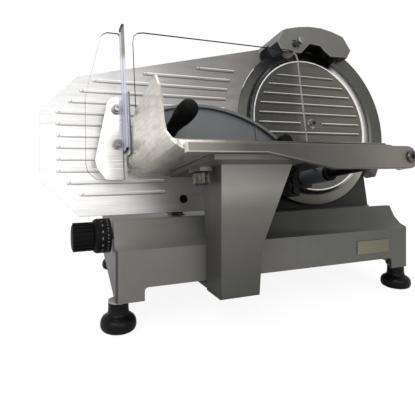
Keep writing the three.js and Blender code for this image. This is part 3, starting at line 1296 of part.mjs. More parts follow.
const frontStoneRear = -blade.bevelRise - stone.bladeGap;
const frontStoneFront = frontStoneRear - stone.thickness;
const rearStoneFront = blade.thickness + stone.rearGap;
const rearStoneRear = rearStoneFront + stone.thickness;
add(leaning, 'hone_stone', turned([
  [stone.shaftRadius + runningGap, frontStoneFront], [stone.radius, frontStoneFront],
  [stone.radius, frontStoneRear - stone.chamfer], [stone.radius - stone.chamfer, frontStoneRear],
  [stone.shaftRadius + runningGap, frontStoneRear], [stone.shaftRadius + runningGap, frontStoneFront],
], knobSides).translate(sharpener.stoneX, 0, stoneZ), stoneGrey);
// A push button's profile out from its stone: the stop collar, the shaft and the knob.
function pushButton(inner, face, wall, proud) {
  const out = Math.sign(face - inner);
  const collarEnd = face + out * (seatGap + stone.collarLength);
  const knobStart = wall + out * proud;
  const knobEnd = knobStart + out * stone.knobLength;
  const collarRadius = stone.shaftRadius + stone.collarWidth;
  return turned([
    [0, inner], [stone.shaftRadius, inner], [stone.shaftRadius, face + out * seatGap],
    [collarRadius, face + out * seatGap], [collarRadius, collarEnd], [stone.shaftRadius, collarEnd],
    [stone.shaftRadius, knobStart], [stone.knobRadius, knobStart],
    [stone.knobRadius, knobEnd - out * stone.chamfer],
    [stone.knobRadius - stone.chamfer, knobEnd], [0, knobEnd],
  ], shaftSides);
}
add(leaning, 'hone_button', pushButton(frontStoneRear, frontStoneFront, sharpener.front, stone.proud)
  .translate(sharpener.stoneX, 0, stoneZ), chrome);
add(leaning, 'grind_stone', turned([
  [stone.shaftRadius + runningGap, rearStoneFront], [stone.radius - stone.chamfer, rearStoneFront],
  [stone.radius, rearStoneFront + stone.chamfer], [stone.radius, rearStoneRear],
  [stone.shaftRadius + runningGap, rearStoneRear], [stone.shaftRadius + runningGap, rearStoneFront],
], knobSides).translate(sharpener.rearStoneX, 0, stoneZ), stoneGrey);
add(leaning, 'grind_button', pushButton(rearStoneFront, rearStoneRear, sharpener.rear, stone.rearProud)
  .translate(sharpener.rearStoneX, 0, stoneZ), chrome);

// Slice deflector behind the cutting edge, and the switches and cable gland on the rear wall.

const deflectorRight = deflector.discLap - discRadius;
const deflectorLeft = deflectorRight - deflector.reach;
const deflectorFront = housing.plateRear + seatGap;
const deflectorPath = (offset) => {
  const shape = new THREE.Shape();
  const bendY = deflectorFront + (deflector.rear - deflectorFront) * bendShare;
  shape.moveTo(deflectorRight, deflectorFront + offset);
  shape.quadraticCurveTo(deflectorLeft + offset, deflectorFront + offset, deflectorLeft + offset, bendY);
  shape.lineTo(deflectorLeft + offset, deflector.rear);
  return shape;
};
const deflectorOuter = deflectorPath(0).getPoints(arcSteps * 2);
const deflectorInner = deflectorPath(deflector.sheet).getPoints(arcSteps * 2).reverse();
add(leaning, 'slice_deflector', alongZ(new THREE.Shape([...deflectorOuter, ...deflectorInner]),
  deflector.bottom,
  deflector.top), polished);

const panelFace = base.rear + seatGap;
const buttonFoot = base.rear + buttonTravel + rearPanel.buttonRoom;
const buttonShoulder = base.rear + buttonTravel + rearPanel.buttonProud;
for (const [name, x, look] of [['start_button', rearPanel.startX, green],
  ['stop_button', rearPanel.stopX, red]]) {
  add(upright, name, turned([
    [0, base.rear - rearPanel.stemLength], [rearPanel.stemRadius, base.rear - rearPanel.stemLength],
    [rearPanel.stemRadius, buttonFoot], [rearPanel.buttonRadius, buttonFoot],
    [rearPanel.buttonRadius, buttonShoulder],
    [rearPanel.buttonRadius - rearPanel.chamfer, buttonShoulder + rearPanel.chamfer],
    [0, buttonShoulder + rearPanel.chamfer],
  ], knobSides).translate(x, 0, buttonZ), look);
}
const switchFrame = cut(
  alongY(rectangle(rearPanel.startX - rearPanel.frameX, rearPanel.stopX + rearPanel.frameX,
    buttonZ - rearPanel.frameZ, buttonZ + rearPanel.frameZ, base.cornerRound), panelFace,
  panelFace + rearPanel.frameDepth),
  ...[rearPanel.startX, rearPanel.stopX].map((x) => rod3(rearPanel.buttonRadius + seatGap * 2, base.rear,
    panelFace + rearPanel.frameDepth + cutOver, knobSides).translate(x, 0, buttonZ)),
);
add(upright, 'switch_plate', switchFrame, black);
add(upright, 'cable_gland', turned([
  [rearPanel.glandBore, base.rear - rearPanel.stemLength],
  [rearPanel.glandStemRadius, base.rear - rearPanel.stemLength],
  [rearPanel.glandStemRadius, panelFace], [rearPanel.glandRadius, panelFace],
  [rearPanel.glandRadius, panelFace + rearPanel.glandLength / 2],
  [rearPanel.glandStemRadius, panelFace + rearPanel.glandLength],
  [rearPanel.glandBore, panelFace + rearPanel.glandLength],
  [rearPanel.glandBore, base.rear - rearPanel.stemLength],
], shaftSides).translate(rearPanel.glandX, 0, glandZ), black);

// The origin is the middle of the bounding box at floor level.
slicer.updateMatrixWorld(true);
const extent = new THREE.Box3().setFromObject(slicer);
const middlePoint = extent.getCenter(new THREE.Vector3());
slicer.position.set(-middlePoint.x, -middlePoint.y, -extent.min.z);
slicer.updateMatrixWorld(true);

export default slicer;
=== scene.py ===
"""Gravity-feed meat slicer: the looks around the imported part, laid out as a Blender add-on.

Metres, in the part's own frame: X runs with the table, Y away from the operator, Z up.
The blade group and the table lean back, so their sizes are given in mm in a leaning frame with x to the
right, y behind the cutting edge and z up the blade.
"""
import json
import math
import bmesh
import bpy
from mathutils import Matrix, Vector


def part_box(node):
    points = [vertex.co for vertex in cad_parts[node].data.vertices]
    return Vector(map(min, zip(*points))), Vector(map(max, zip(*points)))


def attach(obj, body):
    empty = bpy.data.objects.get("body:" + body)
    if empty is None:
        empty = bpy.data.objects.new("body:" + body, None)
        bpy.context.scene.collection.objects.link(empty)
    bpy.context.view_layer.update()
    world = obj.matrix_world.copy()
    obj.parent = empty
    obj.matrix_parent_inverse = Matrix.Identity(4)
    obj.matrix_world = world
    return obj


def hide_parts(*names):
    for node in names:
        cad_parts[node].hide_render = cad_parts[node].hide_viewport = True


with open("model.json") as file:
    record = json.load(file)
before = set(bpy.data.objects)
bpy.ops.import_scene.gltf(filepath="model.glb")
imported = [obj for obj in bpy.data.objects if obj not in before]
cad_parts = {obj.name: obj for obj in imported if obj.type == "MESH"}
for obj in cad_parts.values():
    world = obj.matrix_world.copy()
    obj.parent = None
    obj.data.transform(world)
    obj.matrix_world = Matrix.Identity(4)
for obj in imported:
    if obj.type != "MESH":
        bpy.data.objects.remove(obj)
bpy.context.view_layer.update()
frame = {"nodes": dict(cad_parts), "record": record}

bl_info = {
    "name": "Meat Slicer",
    "version": (1, 0, 0),
    "blender": (4, 5, 0),
    "location": "3D View > Sidebar > Slicer",
    "description": "Builds the finished pieces and the studio of a gravity-feed meat slicer",
    "category": "Object",
}

BODY_OF = {node: body for body, nodes in frame["record"]["behaviour"]["bodies"].items() for node in nodes}

MM = 0.001
TILT = math.radians(10)
BLADE_CENTRE = Vector((0.128032, 0.021216, 0.235))
LEAN = Matrix.Translation(BLADE_CENTRE) @ Matrix.Rotation(-TILT, 4, "X")
UNLEAN = LEAN.inverted()
UPRIGHT = LEAN.to_3x3().inverted()
QUARTER = math.pi / 2
DOUBLES = 2e-6
FLAT_ANGLE = math.radians(0.4)
SOFT_ANGLE = math.radians(40)
WHITE = (1, 1, 1, 1)

# Where lines along y stand in the leaning frame, (x, z) in mm.
ROD = (-31, -86)
HANDLE = (-257, -33)
HONE_BUTTON = (-31, 119.5)
GRIND_BUTTON = (26, 119.5)

FINISH = {}


# ---- small helpers for meshes ----


def shift(x, y, z):
    """A move in mm."""
    return Matrix.Translation((x * MM, y * MM, z * MM))


def add_object(name, data):
    obj = bpy.data.objects.new(name, data)
    bpy.context.scene.collection.objects.link(obj)
    return obj


def new_mesh(name, points, edges=(), faces=()):
    """A mesh from points in mm."""
    mesh = bpy.data.meshes.new(name)
    mesh.from_pydata([tuple(MM * v for v in point) for point in points], edges, faces)
    return mesh


def tidy_mesh(mesh, flat=0.0):
    """Merges doubles, joins triangles that are flat to an angle and turns the faces outwards."""
    bm = bmesh.new()
    bm.from_mesh(mesh)
    bmesh.ops.remove_doubles(bm, verts=bm.verts, dist=DOUBLES)
    if flat:
        bmesh.ops.dissolve_limit(bm, angle_limit=flat, verts=bm.verts, edges=bm.edges)
    bmesh.ops.recalc_face_normals(bm, faces=bm.faces)
    bm.to_mesh(mesh)
    bm.free()
    mesh.update()


def evaluated(obj):
    """A new mesh with an object's modifiers, or its text, worked out."""
    graph = bpy.context.evaluated_depsgraph_get()
    return bpy.data.meshes.new_from_object(obj.evaluated_get(graph), depsgraph=graph)


def apply_modifiers(obj):
    mesh = evaluated(obj)
    obj.modifiers.clear()
    obj.data = mesh
    mesh.name = obj.name
    return obj


def soften(obj, width=0.0, steps=2, angle=SOFT_ANGLE):
    """Rounds the sharp edges by width in mm and gives the faces even shading."""
    if width:
        bevel = obj.modifiers.new("edge", "BEVEL")
        bevel.width = width * MM
        bevel.segments = steps
        bevel.limit_method = "ANGLE"
        bevel.angle_limit = angle
        bevel.use_clamp_overlap = True
        apply_modifiers(obj)
    obj.data.shade_smooth()
    obj.data.set_sharp_from_angle(angle=angle)
    obj.modifiers.new("normals", "WEIGHTED_NORMAL").keep_sharp = True
    apply_modifiers(obj)


def settle(obj, node, finish, others=(), finish_of=None):
    """Gives a finished piece its material and its body, and hides the nodes that it stands for.

    finish_of picks the finish of a face from its normal, its area in square metres and its centre.
    """
    faces = obj.data.polygons
    chosen = [finish_of(face.normal, face.area, face.center) if finish_of else finish for face in faces]
    used = [finish] + sorted(set(chosen) - {finish}, key=lambda name: FINISH[name].name)
    obj.data.materials.clear()
    for name in used:
        obj.data.materials.append(FINISH[name])
    for face, name in zip(faces, chosen):
        face.material_index = used.index(name)
    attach(obj, BODY_OF[node])
    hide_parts(node, *others)


def dress(node, finish, width, steps=2, finish_of=None):
    """A copy of a node with rounded edges, which stands for it."""
    mesh = frame["nodes"][node].data.copy()
    mesh.materials.clear()
    obj = add_object(node + "_skin", mesh)
    tidy_mesh(mesh, FLAT_ANGLE)
    soften(obj, width, steps)
    settle(obj, node, finish, finish_of=finish_of)


def keep(finish, *nodes):
    """Nodes that are right as they are get their material."""
    for node in nodes:
        mesh = frame["nodes"][node].data
        mesh.materials.clear()
        mesh.materials.append(FINISH[finish])


def solid(name, points, faces, matrix):
    """A piece from points in mm and faces, moved by a matrix."""
    mesh = new_mesh(name, points, faces=faces)
    mesh.transform(matrix)
    obj = add_object(name, mesh)
    tidy_mesh(mesh)
    return obj


def revolve(name, profile, steps, matrix=Matrix(), sweep=(0.0, 360.0)):
    """Turns a profile of (radius, along) in mm about the local y axis; a part sweep gets end faces."""
    closed = abs(sweep[1] - sweep[0]) >= 360
    turns = steps if closed else steps + 1
    points, faces = [], []
    for turn in range(turns):
        angle = math.radians(sweep[0] + (sweep[1] - sweep[0]) * turn / steps)
        points += [(radius * math.cos(angle), along, radius * math.sin(angle)) for radius, along in profile]
    count = len(profile)
    for turn in range(steps):
        here, after = turn * count, (turn + 1) % turns * count
        faces += [(here + i, here + i + 1, after + i + 1, after + i) for i in range(count - 1)]
    if not closed:
        faces += [tuple(first + i for i in range(count - 1)) for first in (0, steps * count)]
    return solid(name, points, faces, matrix)


def prism(name, outline, low, high):
    """A straight block between two depths from an outline of (x, z) in mm."""
    count = len(outline)
    points = [(x, depth, z) for depth in (low, high) for x, z in outline]
    faces = [tuple(range(count)), tuple(range(count, 2 * count))]
    faces += [(i, (i + 1) % count, count + (i + 1) % count, count + i) for i in range(count)]
    return solid(name, points, faces, Matrix())


def arc(centre, radius, start, end, steps):
    """Points of an arc in degrees, both ends included."""
    angles = [math.radians(start + (end - start) * i / steps) for i in range(steps + 1)]
    return [(centre[0] + radius * math.cos(angle), centre[1] + radius * math.sin(angle)) for angle in angles]


def carve(obj, tool):
    """Cuts a tool out of a piece and removes the tool."""
    cut = obj.modifiers.new("cut", "BOOLEAN")
    cut.operation = "DIFFERENCE"
    cut.solver = "EXACT"
    cut.object = tool
    apply_modifiers(obj)
    bpy.data.objects.remove(tool)
    return obj


def curved(points, steps):
    """A smooth line through points of (x, y), straight on at both ends."""
    line = []
    for index in range(len(points) - 1):
        before, start = points[max(index - 1, 0)], points[index]
        end, after = points[index + 1], points[min(index + 2, len(points) - 1)]
        for step in range(steps):
            t = step / steps
            line.append(tuple(0.5 * (2 * b + (c - a) * t + (2 * a - 5 * b + 4 * c - d) * t * t
                                     + (3 * b - a - 3 * c + d) * t ** 3)
                              for a, b, c, d in zip(before, start, end, after)))
    return line + [points[-1]]


def spindle(node, finish, profile, matrix, steps=56):
    """A turned piece, smooth all round, that stands for a node."""
    obj = revolve(node + "_skin", profile, steps, matrix)
    soften(obj)
    settle(obj, node, finish)


def merge(name, parts, matrix):
    """One mesh object out of several, moved by a matrix."""
    bm = bmesh.new()
    for part in parts:
        bm.from_mesh(part.data)
    mesh = bpy.data.meshes.new(name)
    bm.to_mesh(mesh)
    bm.free()
    mesh.transform(matrix)
    for part in parts:
        bpy.data.objects.remove(part)
    return add_object(name, mesh)


# ---- nodes ----


class Nodes:
    """A node tree, with short ways to add nodes and to feed their inputs."""

    def __init__(self, tree):
        self.tree = tree

    def put(self, socket, value):
        if isinstance(value, bpy.types.NodeSocket):
            self.tree.links.new(value, socket)
        else:
            socket.default_value = value

    def add(self, kind, options=None, **inputs):
        """A new node with its settings and its named inputs."""
        made = self.tree.nodes.new(kind)
        for key, value in (options or {}).items():
            setattr(made, key, value)
        for key, value in inputs.items():
            self.put(made.inputs[key.replace("_", " ")], value)
        return made

    def out(self, kind, options=None, **inputs):
        """The first output of a new node."""
        return self.add(kind, options, **inputs).outputs[0]

    def fed(self, kind, options, *values):
        """The first output of a new node whose inputs are fed in order."""
        made = self.add(kind, options)
        for socket, value in zip(made.inputs, values):
            self.put(socket, value)
        return made.outputs[0]

    def math(self, operation, *values):
        return self.fed("ShaderNodeMath", {"operation": operation}, *values)


class Tree(Nodes):
    """A Geometry Nodes tree with named inputs; it ends in Realize Instances and Set Material."""

    def __init__(self, name, *inputs):
        super().__init__(bpy.data.node_groups.new(name, "GeometryNodeTree"))
        face = self.tree.interface
        face.new_socket("Geometry", in_out="INPUT", socket_type="NodeSocketGeometry")
        self.names = {}
        for label, kind, value in inputs + (("Finish", "Material", None),):
            socket = face.new_socket(label, in_out="INPUT", socket_type="NodeSocket" + kind)
            if value is not None:
                socket.default_value = value
            self.names[label] = socket.identifier
        face.new_socket("Geometry", in_out="OUTPUT", socket_type="NodeSocketGeometry")
        self.given = self.tree.nodes.new("NodeGroupInput").outputs

    def vector(self, x, y, z):
        return self.out("ShaderNodeCombineXYZ", X=x, Y=y, Z=z)

    def points(self, mesh, mode):
        """The corners or the middles of the edges of a mesh."""
        return self.out("GeometryNodeMeshToPoints", {"mode": mode}, Mesh=mesh)

    def join(self, *parts):
        made = self.add("GeometryNodeJoinGeometry")
        for part in reversed(parts):
            self.tree.links.new(part, made.inputs[0])
        return made.outputs[0]

    def end(self, geometry, smooth=True):
        real = self.out("GeometryNodeRealizeInstances", Geometry=geometry)
        real = self.out("GeometryNodeSetShadeSmooth", Geometry=real, Shade_Smooth=smooth)
        dressed = self.out("GeometryNodeSetMaterial", Geometry=real, Material=self.given["Finish"])
        self.tree.links.new(dressed, self.add("NodeGroupOutput").inputs[0])
        return self

    def grow(self, name, mesh, finish, **values):
        """Runs the tree on a mesh and returns the plain result as an object."""
        obj = add_object(name, mesh)
        modifier = obj.modifiers.new(name, "NODES")
        modifier.node_group = self.tree
        for label, value in dict(values, Finish=FINISH[finish]).items():
            modifier[self.names[label.replace("_", " ")]] = value
        obj.update_tag()
        bpy.context.view_layer.update()
        return apply_modifiers(obj)


def rib_tree():
    """Embossed ribs with round ends, one on each edge of the mesh that is handed in."""
    tree = Tree("embossed_ribs", ("Rib Width", "Float", 0.005), ("Rib Rise", "Float", 0.0012))
    sides = 20
    ends = tree.add("GeometryNodeInputMeshEdgeVertices").outputs
    span = tree.add("ShaderNodeVectorMath", {"operation": "DISTANCE"})
    tree.put(span.inputs[0], ends["Position 1"])
    tree.put(span.inputs[1], ends["Position 2"])
    marked = tree.out("GeometryNodeStoreNamedAttribute", {"data_type": "FLOAT", "domain": "EDGE"},
                      Geometry=tree.given["Geometry"], Name="run", Value=span.outputs["Value"])
    run = tree.out("GeometryNodeInputNamedAttribute", {"data_type": "FLOAT"}, Name="run")
    half = tree.math("MULTIPLY", tree.given["Rib Width"], 0.5)
    half_run = tree.math("SUBTRACT", tree.math("MULTIPLY", run, 0.5), half)
    bar = tree.out("GeometryNodeMeshCylinder", {"fill_type": "NGON"}, Vertices=sides, Radius=1.0, Depth=2.0)
    bar = tree.out("GeometryNodeTransform", Geometry=bar, Rotation=(0.0, QUARTER, 0.0))
    bars = tree.out("GeometryNodeInstanceOnPoints", Points=tree.points(marked, "EDGES"), Instance=bar,
                    Scale=tree.vector(half_run, tree.given["Rib Rise"], half))
    ball = tree.out("GeometryNodeMeshUVSphere", Segments=sides, Rings=sides // 2, Radius=1.0)
    corners = tree.points(tree.given["Geometry"], "VERTICES")
    balls = tree.out("GeometryNodeInstanceOnPoints", Points=corners, Instance=ball,
                     Scale=tree.vector(half, tree.given["Rib Rise"], half))
    return tree.end(tree.join(bars, balls))


def ring_tree():
    """Copies of one tooth set evenly round the local y axis."""
    tree = Tree("ring_of_copies", ("Count", "Int", 24), ("Ring Radius", "Float", 0.01))
    count, radius = tree.given["Count"], tree.given["Ring Radius"]
    circle = tree.out("GeometryNodeMeshCircle", Vertices=count, Radius=radius)
    circle = tree.out("GeometryNodeTransform", Geometry=circle, Rotation=(QUARTER, 0.0, 0.0))
    index = tree.out("GeometryNodeInputIndex")
    turn = tree.math("DIVIDE", tree.math("MULTIPLY", index, 2 * math.pi), count)
    placed = tree.out("GeometryNodeInstanceOnPoints", Points=circle, Instance=tree.given["Geometry"],
                      Rotation=tree.vector(0.0, tree.math("SUBTRACT", QUARTER, turn), 0.0))
    return tree.end(placed, smooth=False)


def copies_tree():
    """One copy of a pattern piece on each point of the mesh that is handed in."""
    tree = Tree("copies_on_points", ("Pattern Piece", "Object", None))
    pattern = tree.add("GeometryNodeObjectInfo", Object=tree.given["Pattern Piece"]).outputs["Geometry"]
    points = tree.points(tree.given["Geometry"], "VERTICES")
    return tree.end(tree.out("GeometryNodeInstanceOnPoints", Points=points, Instance=pattern))


def copied(name, pattern, places, finish):
    """One object with a pattern piece at each of some places in mm."""
    obj = copies_tree().grow(name, new_mesh(name, places), finish, Pattern_Piece=pattern)
    bpy.data.objects.remove(pattern)
    return obj


def knurled(node, finish, core, tooth, count, radius, place):
    """A turned core with copies of a tooth round its y axis, moved to its place."""
    teeth = ring_tree().grow("teeth", tooth.data, finish, Count=count, Ring_Radius=radius * MM)
    bpy.data.objects.remove(tooth)
    soften(core)
    settle(merge(node + "_skin", [core, teeth], place), node, finish)


# ---- materials ----


def linear(colour):
    """A hex colour, or a gamma-corrected one, as linear values."""
    if isinstance(colour, str):
        colour = [int(colour[i:i + 2], 16) / 255 for i in (0, 2, 4)]
    return tuple(c / 12.92 if c <= 0.04045 else ((c + 0.055) / 1.055) ** 2.4 for c in colour[:3]) + (1.0,)


def emptied(owner):
    """The node tree of a material or a world, with nothing in it yet."""
    owner.use_nodes = True
    owner.node_tree.nodes.clear()
    return owner.node_tree


class Finish(Nodes):
    """A procedural material on Object coordinates."""

    def __init__(self, name, metallic=0.0, roughness=0.5, specular=0.5):
        self.material = bpy.data.materials.new(name)
        super().__init__(emptied(self.material))
        self.roughness = roughness
        self.shader = self.add("ShaderNodeBsdfPrincipled", Metallic=metallic, Roughness=roughness,
                               Specular_IOR_Level=specular)
        self.add("ShaderNodeOutputMaterial", Surface=self.shader.outputs[0])
        self.coords = self.add("ShaderNodeTexCoord").outputs["Object"]

    def place(self, scale=(1, 1, 1), centre=(0, 0, 0), turn=0.0):
        """Object coordinates centred, turned about X and scaled for a pattern."""
        moved = self.fed("ShaderNodeVectorMath", {"operation": "SUBTRACT"}, self.coords, centre)
        turned = self.out("ShaderNodeMapping", Vector=moved, Rotation=(turn, 0, 0))
        return self.out("ShaderNodeMapping", Vector=turned, Scale=scale)

    def noise(self, scale, detail, *place):
        return self.add("ShaderNodeTexNoise", Vector=self.place(*place), Scale=scale, Detail=detail,
                        Roughness=0.55).outputs["Fac"]

    def ramp(self, value, *stops):
        """Colours at places from 0 to 1, each (place, colour)."""
        made = self.add("ShaderNodeValToRGB", Fac=value)
        elements = made.color_ramp.elements
        while len(elements) < len(stops):
            elements.new(0.5)
        for element, (at, colour) in zip(elements, stops):
            element.position = at
            element.color = linear(colour)
        return made.outputs["Color"]

    def axes(self, *place):
        """The X, Y and Z of a place."""
        return self.add("ShaderNodeSeparateXYZ", Vector=self.place(*place)).outputs

    def along(self, axis, low, high):
        """0 to 1 between two places in metres along an object axis."""
        return self.out("ShaderNodeMapRange", Value=self.axes()[axis], From_Min=low, From_Max=high)

    def polar(self):
        """Angle round the blade's axis from 0 to 1, anticlockwise from the left, and distance in metres."""
        x, _, z = self.axes((1, 1, 1), BLADE_CENTRE, TILT)
        squares = [self.math("MULTIPLY", value, value) for value in (x, z)]
        angle = self.math("DIVIDE", self.math("ARCTAN2", z, x), 2 * math.pi)
        return self.math("ADD", angle, 0.5), self.math("SQRT", self.math("ADD", *squares))

    def mix(self, kind, factor, first, second):
        made = self.add("ShaderNodeMix", {"data_type": "RGBA", "blend_type": kind})
        for index, value in ((0, factor), (6, first), (7, second)):
            self.put(made.inputs[index], value)
        return made.outputs[2]

    def dulled(self, share, tone, mask, dark="8c8c8c", low=0.3, high=0.7):
        """A tone darkened by a share of a pattern that runs from dark to white."""
        return self.mix("MULTIPLY", share, tone, self.ramp(mask, (low, dark), (high, "ffffff")))

    def span(self, value, low, high):
        return self.out("ShaderNodeMapRange", Value=value, To_Min=low, To_Max=high)

    def done(self, tone, pattern, below, above, *heights):
        """Sets the colour, the roughness and the bumps, each (height, distance in mm, strength).

        The roughness varies with a pattern, from a little below to a little above its main value.
        """
        rough = self.span(pattern, self.roughness - below, self.roughness + above)
        normal = {}
        for height, distance, strength in heights:
            normal = {"Normal": self.out("ShaderNodeBump", Height=height, Distance=distance * MM,
                                         Strength=strength, **normal)}
        for label, value in {"Base Color": tone, "Roughness": rough, **normal}.items():
            self.put(self.shader.inputs[label], value)
        return self.material


def coated_metal(name, *tones, roughness=0.42, spread=(-0.2, 0.21), axis="X", metallic=0.15, specular=0.5):
    """A satin coating on a casting: faint mottling, fine grain and evenly spaced tones along an axis, which
    paint light and shade.
    """
    finish = Finish(name, metallic, roughness, specular)
    # Painted light and shade: the tones along the axis stand in for the light falling off across the piece.
    tone = finish.ramp(finish.along(axis, *spread),
                       *[(index / (len(tones) - 1), tone) for index, tone in enumerate(tones)])
    grain = finish.noise(900, 2)
    tone = finish.dulled(0.35, tone, finish.noise(14, 4), "b4b4b4")
    tone = finish.dulled(0.12, tone, grain, "909090", 0.35, 0.65)
    swell = finish.noise(9, 2)
    return finish.done(tone, finish.noise(35, 3), 0.07, 0.09, (swell, 1.2, 0.06), (grain, 0.08, 0.5))


def brushed_metal(name, *tones, roughness=0.3, stretch=(4, 260, 260), axis="X", spread=(-0.27, 0.05),
                  scratch=0.35, turn=TILT, metallic=0.9, streak=0.25, painted_height_light=()):
    """Metal with fine straight brush marks along X, painted light and reflection in tones along an axis, and
    painted light and shade up the height.
    """
    finish = Finish(name, metallic, roughness)
    marks = finish.noise(6, 4, stretch, BLADE_CENTRE, turn)
    wide = finish.noise(5, 2, (1, 14, 14), BLADE_CENTRE, turn)
    # Painted light and reflection: the tones along the axis stand in for how the light falls across the
    # piece.
    tone = finish.ramp(finish.along(axis, *spread), *tones)
    # Painted light and shade up the height, when tones for it are given.
    if painted_height_light:
        tone = finish.mix("MULTIPLY", 1.0, tone, finish.ramp(finish.along("Z", 0.13, 0.33), *painted_height_light))
    tone = finish.dulled(scratch, tone, marks)
    tone = finish.dulled(streak, tone, wide, "a0a0a0", 0.35, 0.65)
    return finish.done(tone, marks, 0.08, 0.12, (marks, 0.05, 0.35))


def turned_metal(name, light, dark, roughness=0.28):
    """Machined steel with faint lathe marks."""
    finish = Finish(name, 0.95, roughness)
    marks = finish.noise(260, 3)
    tone = finish.ramp(marks, (0.3, dark), (0.7, light))
    return finish.done(tone, finish.noise(60, 3), 0.08, 0.14, (marks, 0.04, 0.3))


def moulded(name, light, dark, roughness=0.45, grain=500, depth=0.05, specular=0.5):
    """Moulded plastic or rubber with a fine skin texture."""
    finish = Finish(name, 0.0, roughness, specular)
    skin = finish.noise(grain, 3)
    wide = finish.noise(25, 3)
    tone = finish.dulled(0.25, finish.ramp(wide, (0.35, dark), (0.7, light)), skin, "808080")
    return finish.done(tone, wide, 0.08, 0.12, (skin, depth, 0.5))


def disc_metal(name, *tones):
    """Steel ground in rings round the blade's axis, with painted reflection and painted shadow given all
    round from the left.
    """
    finish = Finish(name, 0.3, 0.26)
    angle, reach = finish.polar()
    rings = finish.add("ShaderNodeTexNoise", {"noise_dimensions": "1D"}, W=reach, Scale=2600, Detail=3)
    rings = rings.outputs["Fac"]
    # The tones round the blade paint its reflections and the shadow on it; the rings are grinding marks.
    tone = finish.dulled(0.3, finish.ramp(angle, *tones), rings)
    return finish.done(tone, rings, 0.05, 0.1, (rings, 0.03, 0.25))


def rim_highlight_metal(name, shade, bright):
    """The cover's rolled rim with painted highlights: a thin bright line round the left with painted shade
    outside it, and a broad bright band down the right.
    """
    finish = Finish(name, 0.3, 0.26)
    angle, reach = finish.polar()
    across = finish.out("ShaderNodeMapRange", Value=reach, From_Min=0.1, From_Max=0.11)
    # Painted highlight: a thin bright line across the rim, with painted shade outside it.
    line = finish.ramp(across, (0.22, shade), (0.28, bright), (0.38, bright), (0.45, "1c1c1a"))
    # Painted highlight: a broad bright band down the right side of the rim.
    side = finish.ramp(angle, (0.3, "000000"), (0.42, "ffffff"), (0.655, "ffffff"), (0.68, "000000"))
    marks = finish.noise(400, 2)
    tone = finish.dulled(0.2, finish.mix("MIX", side, line, linear(bright)), marks)
    return finish.done(tone, marks, 0.06, 0.08)


def clear_sheet(name, tint, veil, dark_from=None):
    """Clear plastic with a thin gloss, a faint veil and, if asked, a dark top from a height in metres."""
    finish = Finish(name, roughness=0.06, specular=0.2)
    smear = finish.noise(9, 4, (1, 1, 2.5))
    if dark_from:
        tone = finish.ramp(finish.along("Z", dark_from, dark_from + 0.02), (0.0, tint), (0.4, "2c2c2e"))
    else:
        tone = finish.ramp(smear, (0.3, tint), (0.7, (0.95, 0.96, 0.98)))
    finish.put(finish.shader.inputs["Alpha"], finish.span(smear, veil * 0.6, veil * 1.4))
    return finish.done(tone, finish.noise(30, 3), 0.03, 0.06)


def rubber_foot(name):
    """Black rubber with a bare steel washer where the foot meets the casting."""
    finish = Finish(name, roughness=0.3, specular=0.12)
    washer_from = 0.0302
    skin = finish.noise(300, 3)
    black = finish.ramp(skin, (0.3, "0a0a0a"), (0.7, "161616"))
    steel = finish.ramp(skin, (0.3, "868684"), (0.7, "a5a4a1"))
    height = finish.add("ShaderNodeSeparateXYZ", Vector=finish.coords).outputs["Z"]
    tone = finish.mix("MIX", finish.math("GREATER_THAN", height, washer_from), black, steel)
    return finish.done(tone, skin, 0, 0, (skin, 0.05, 0.5))


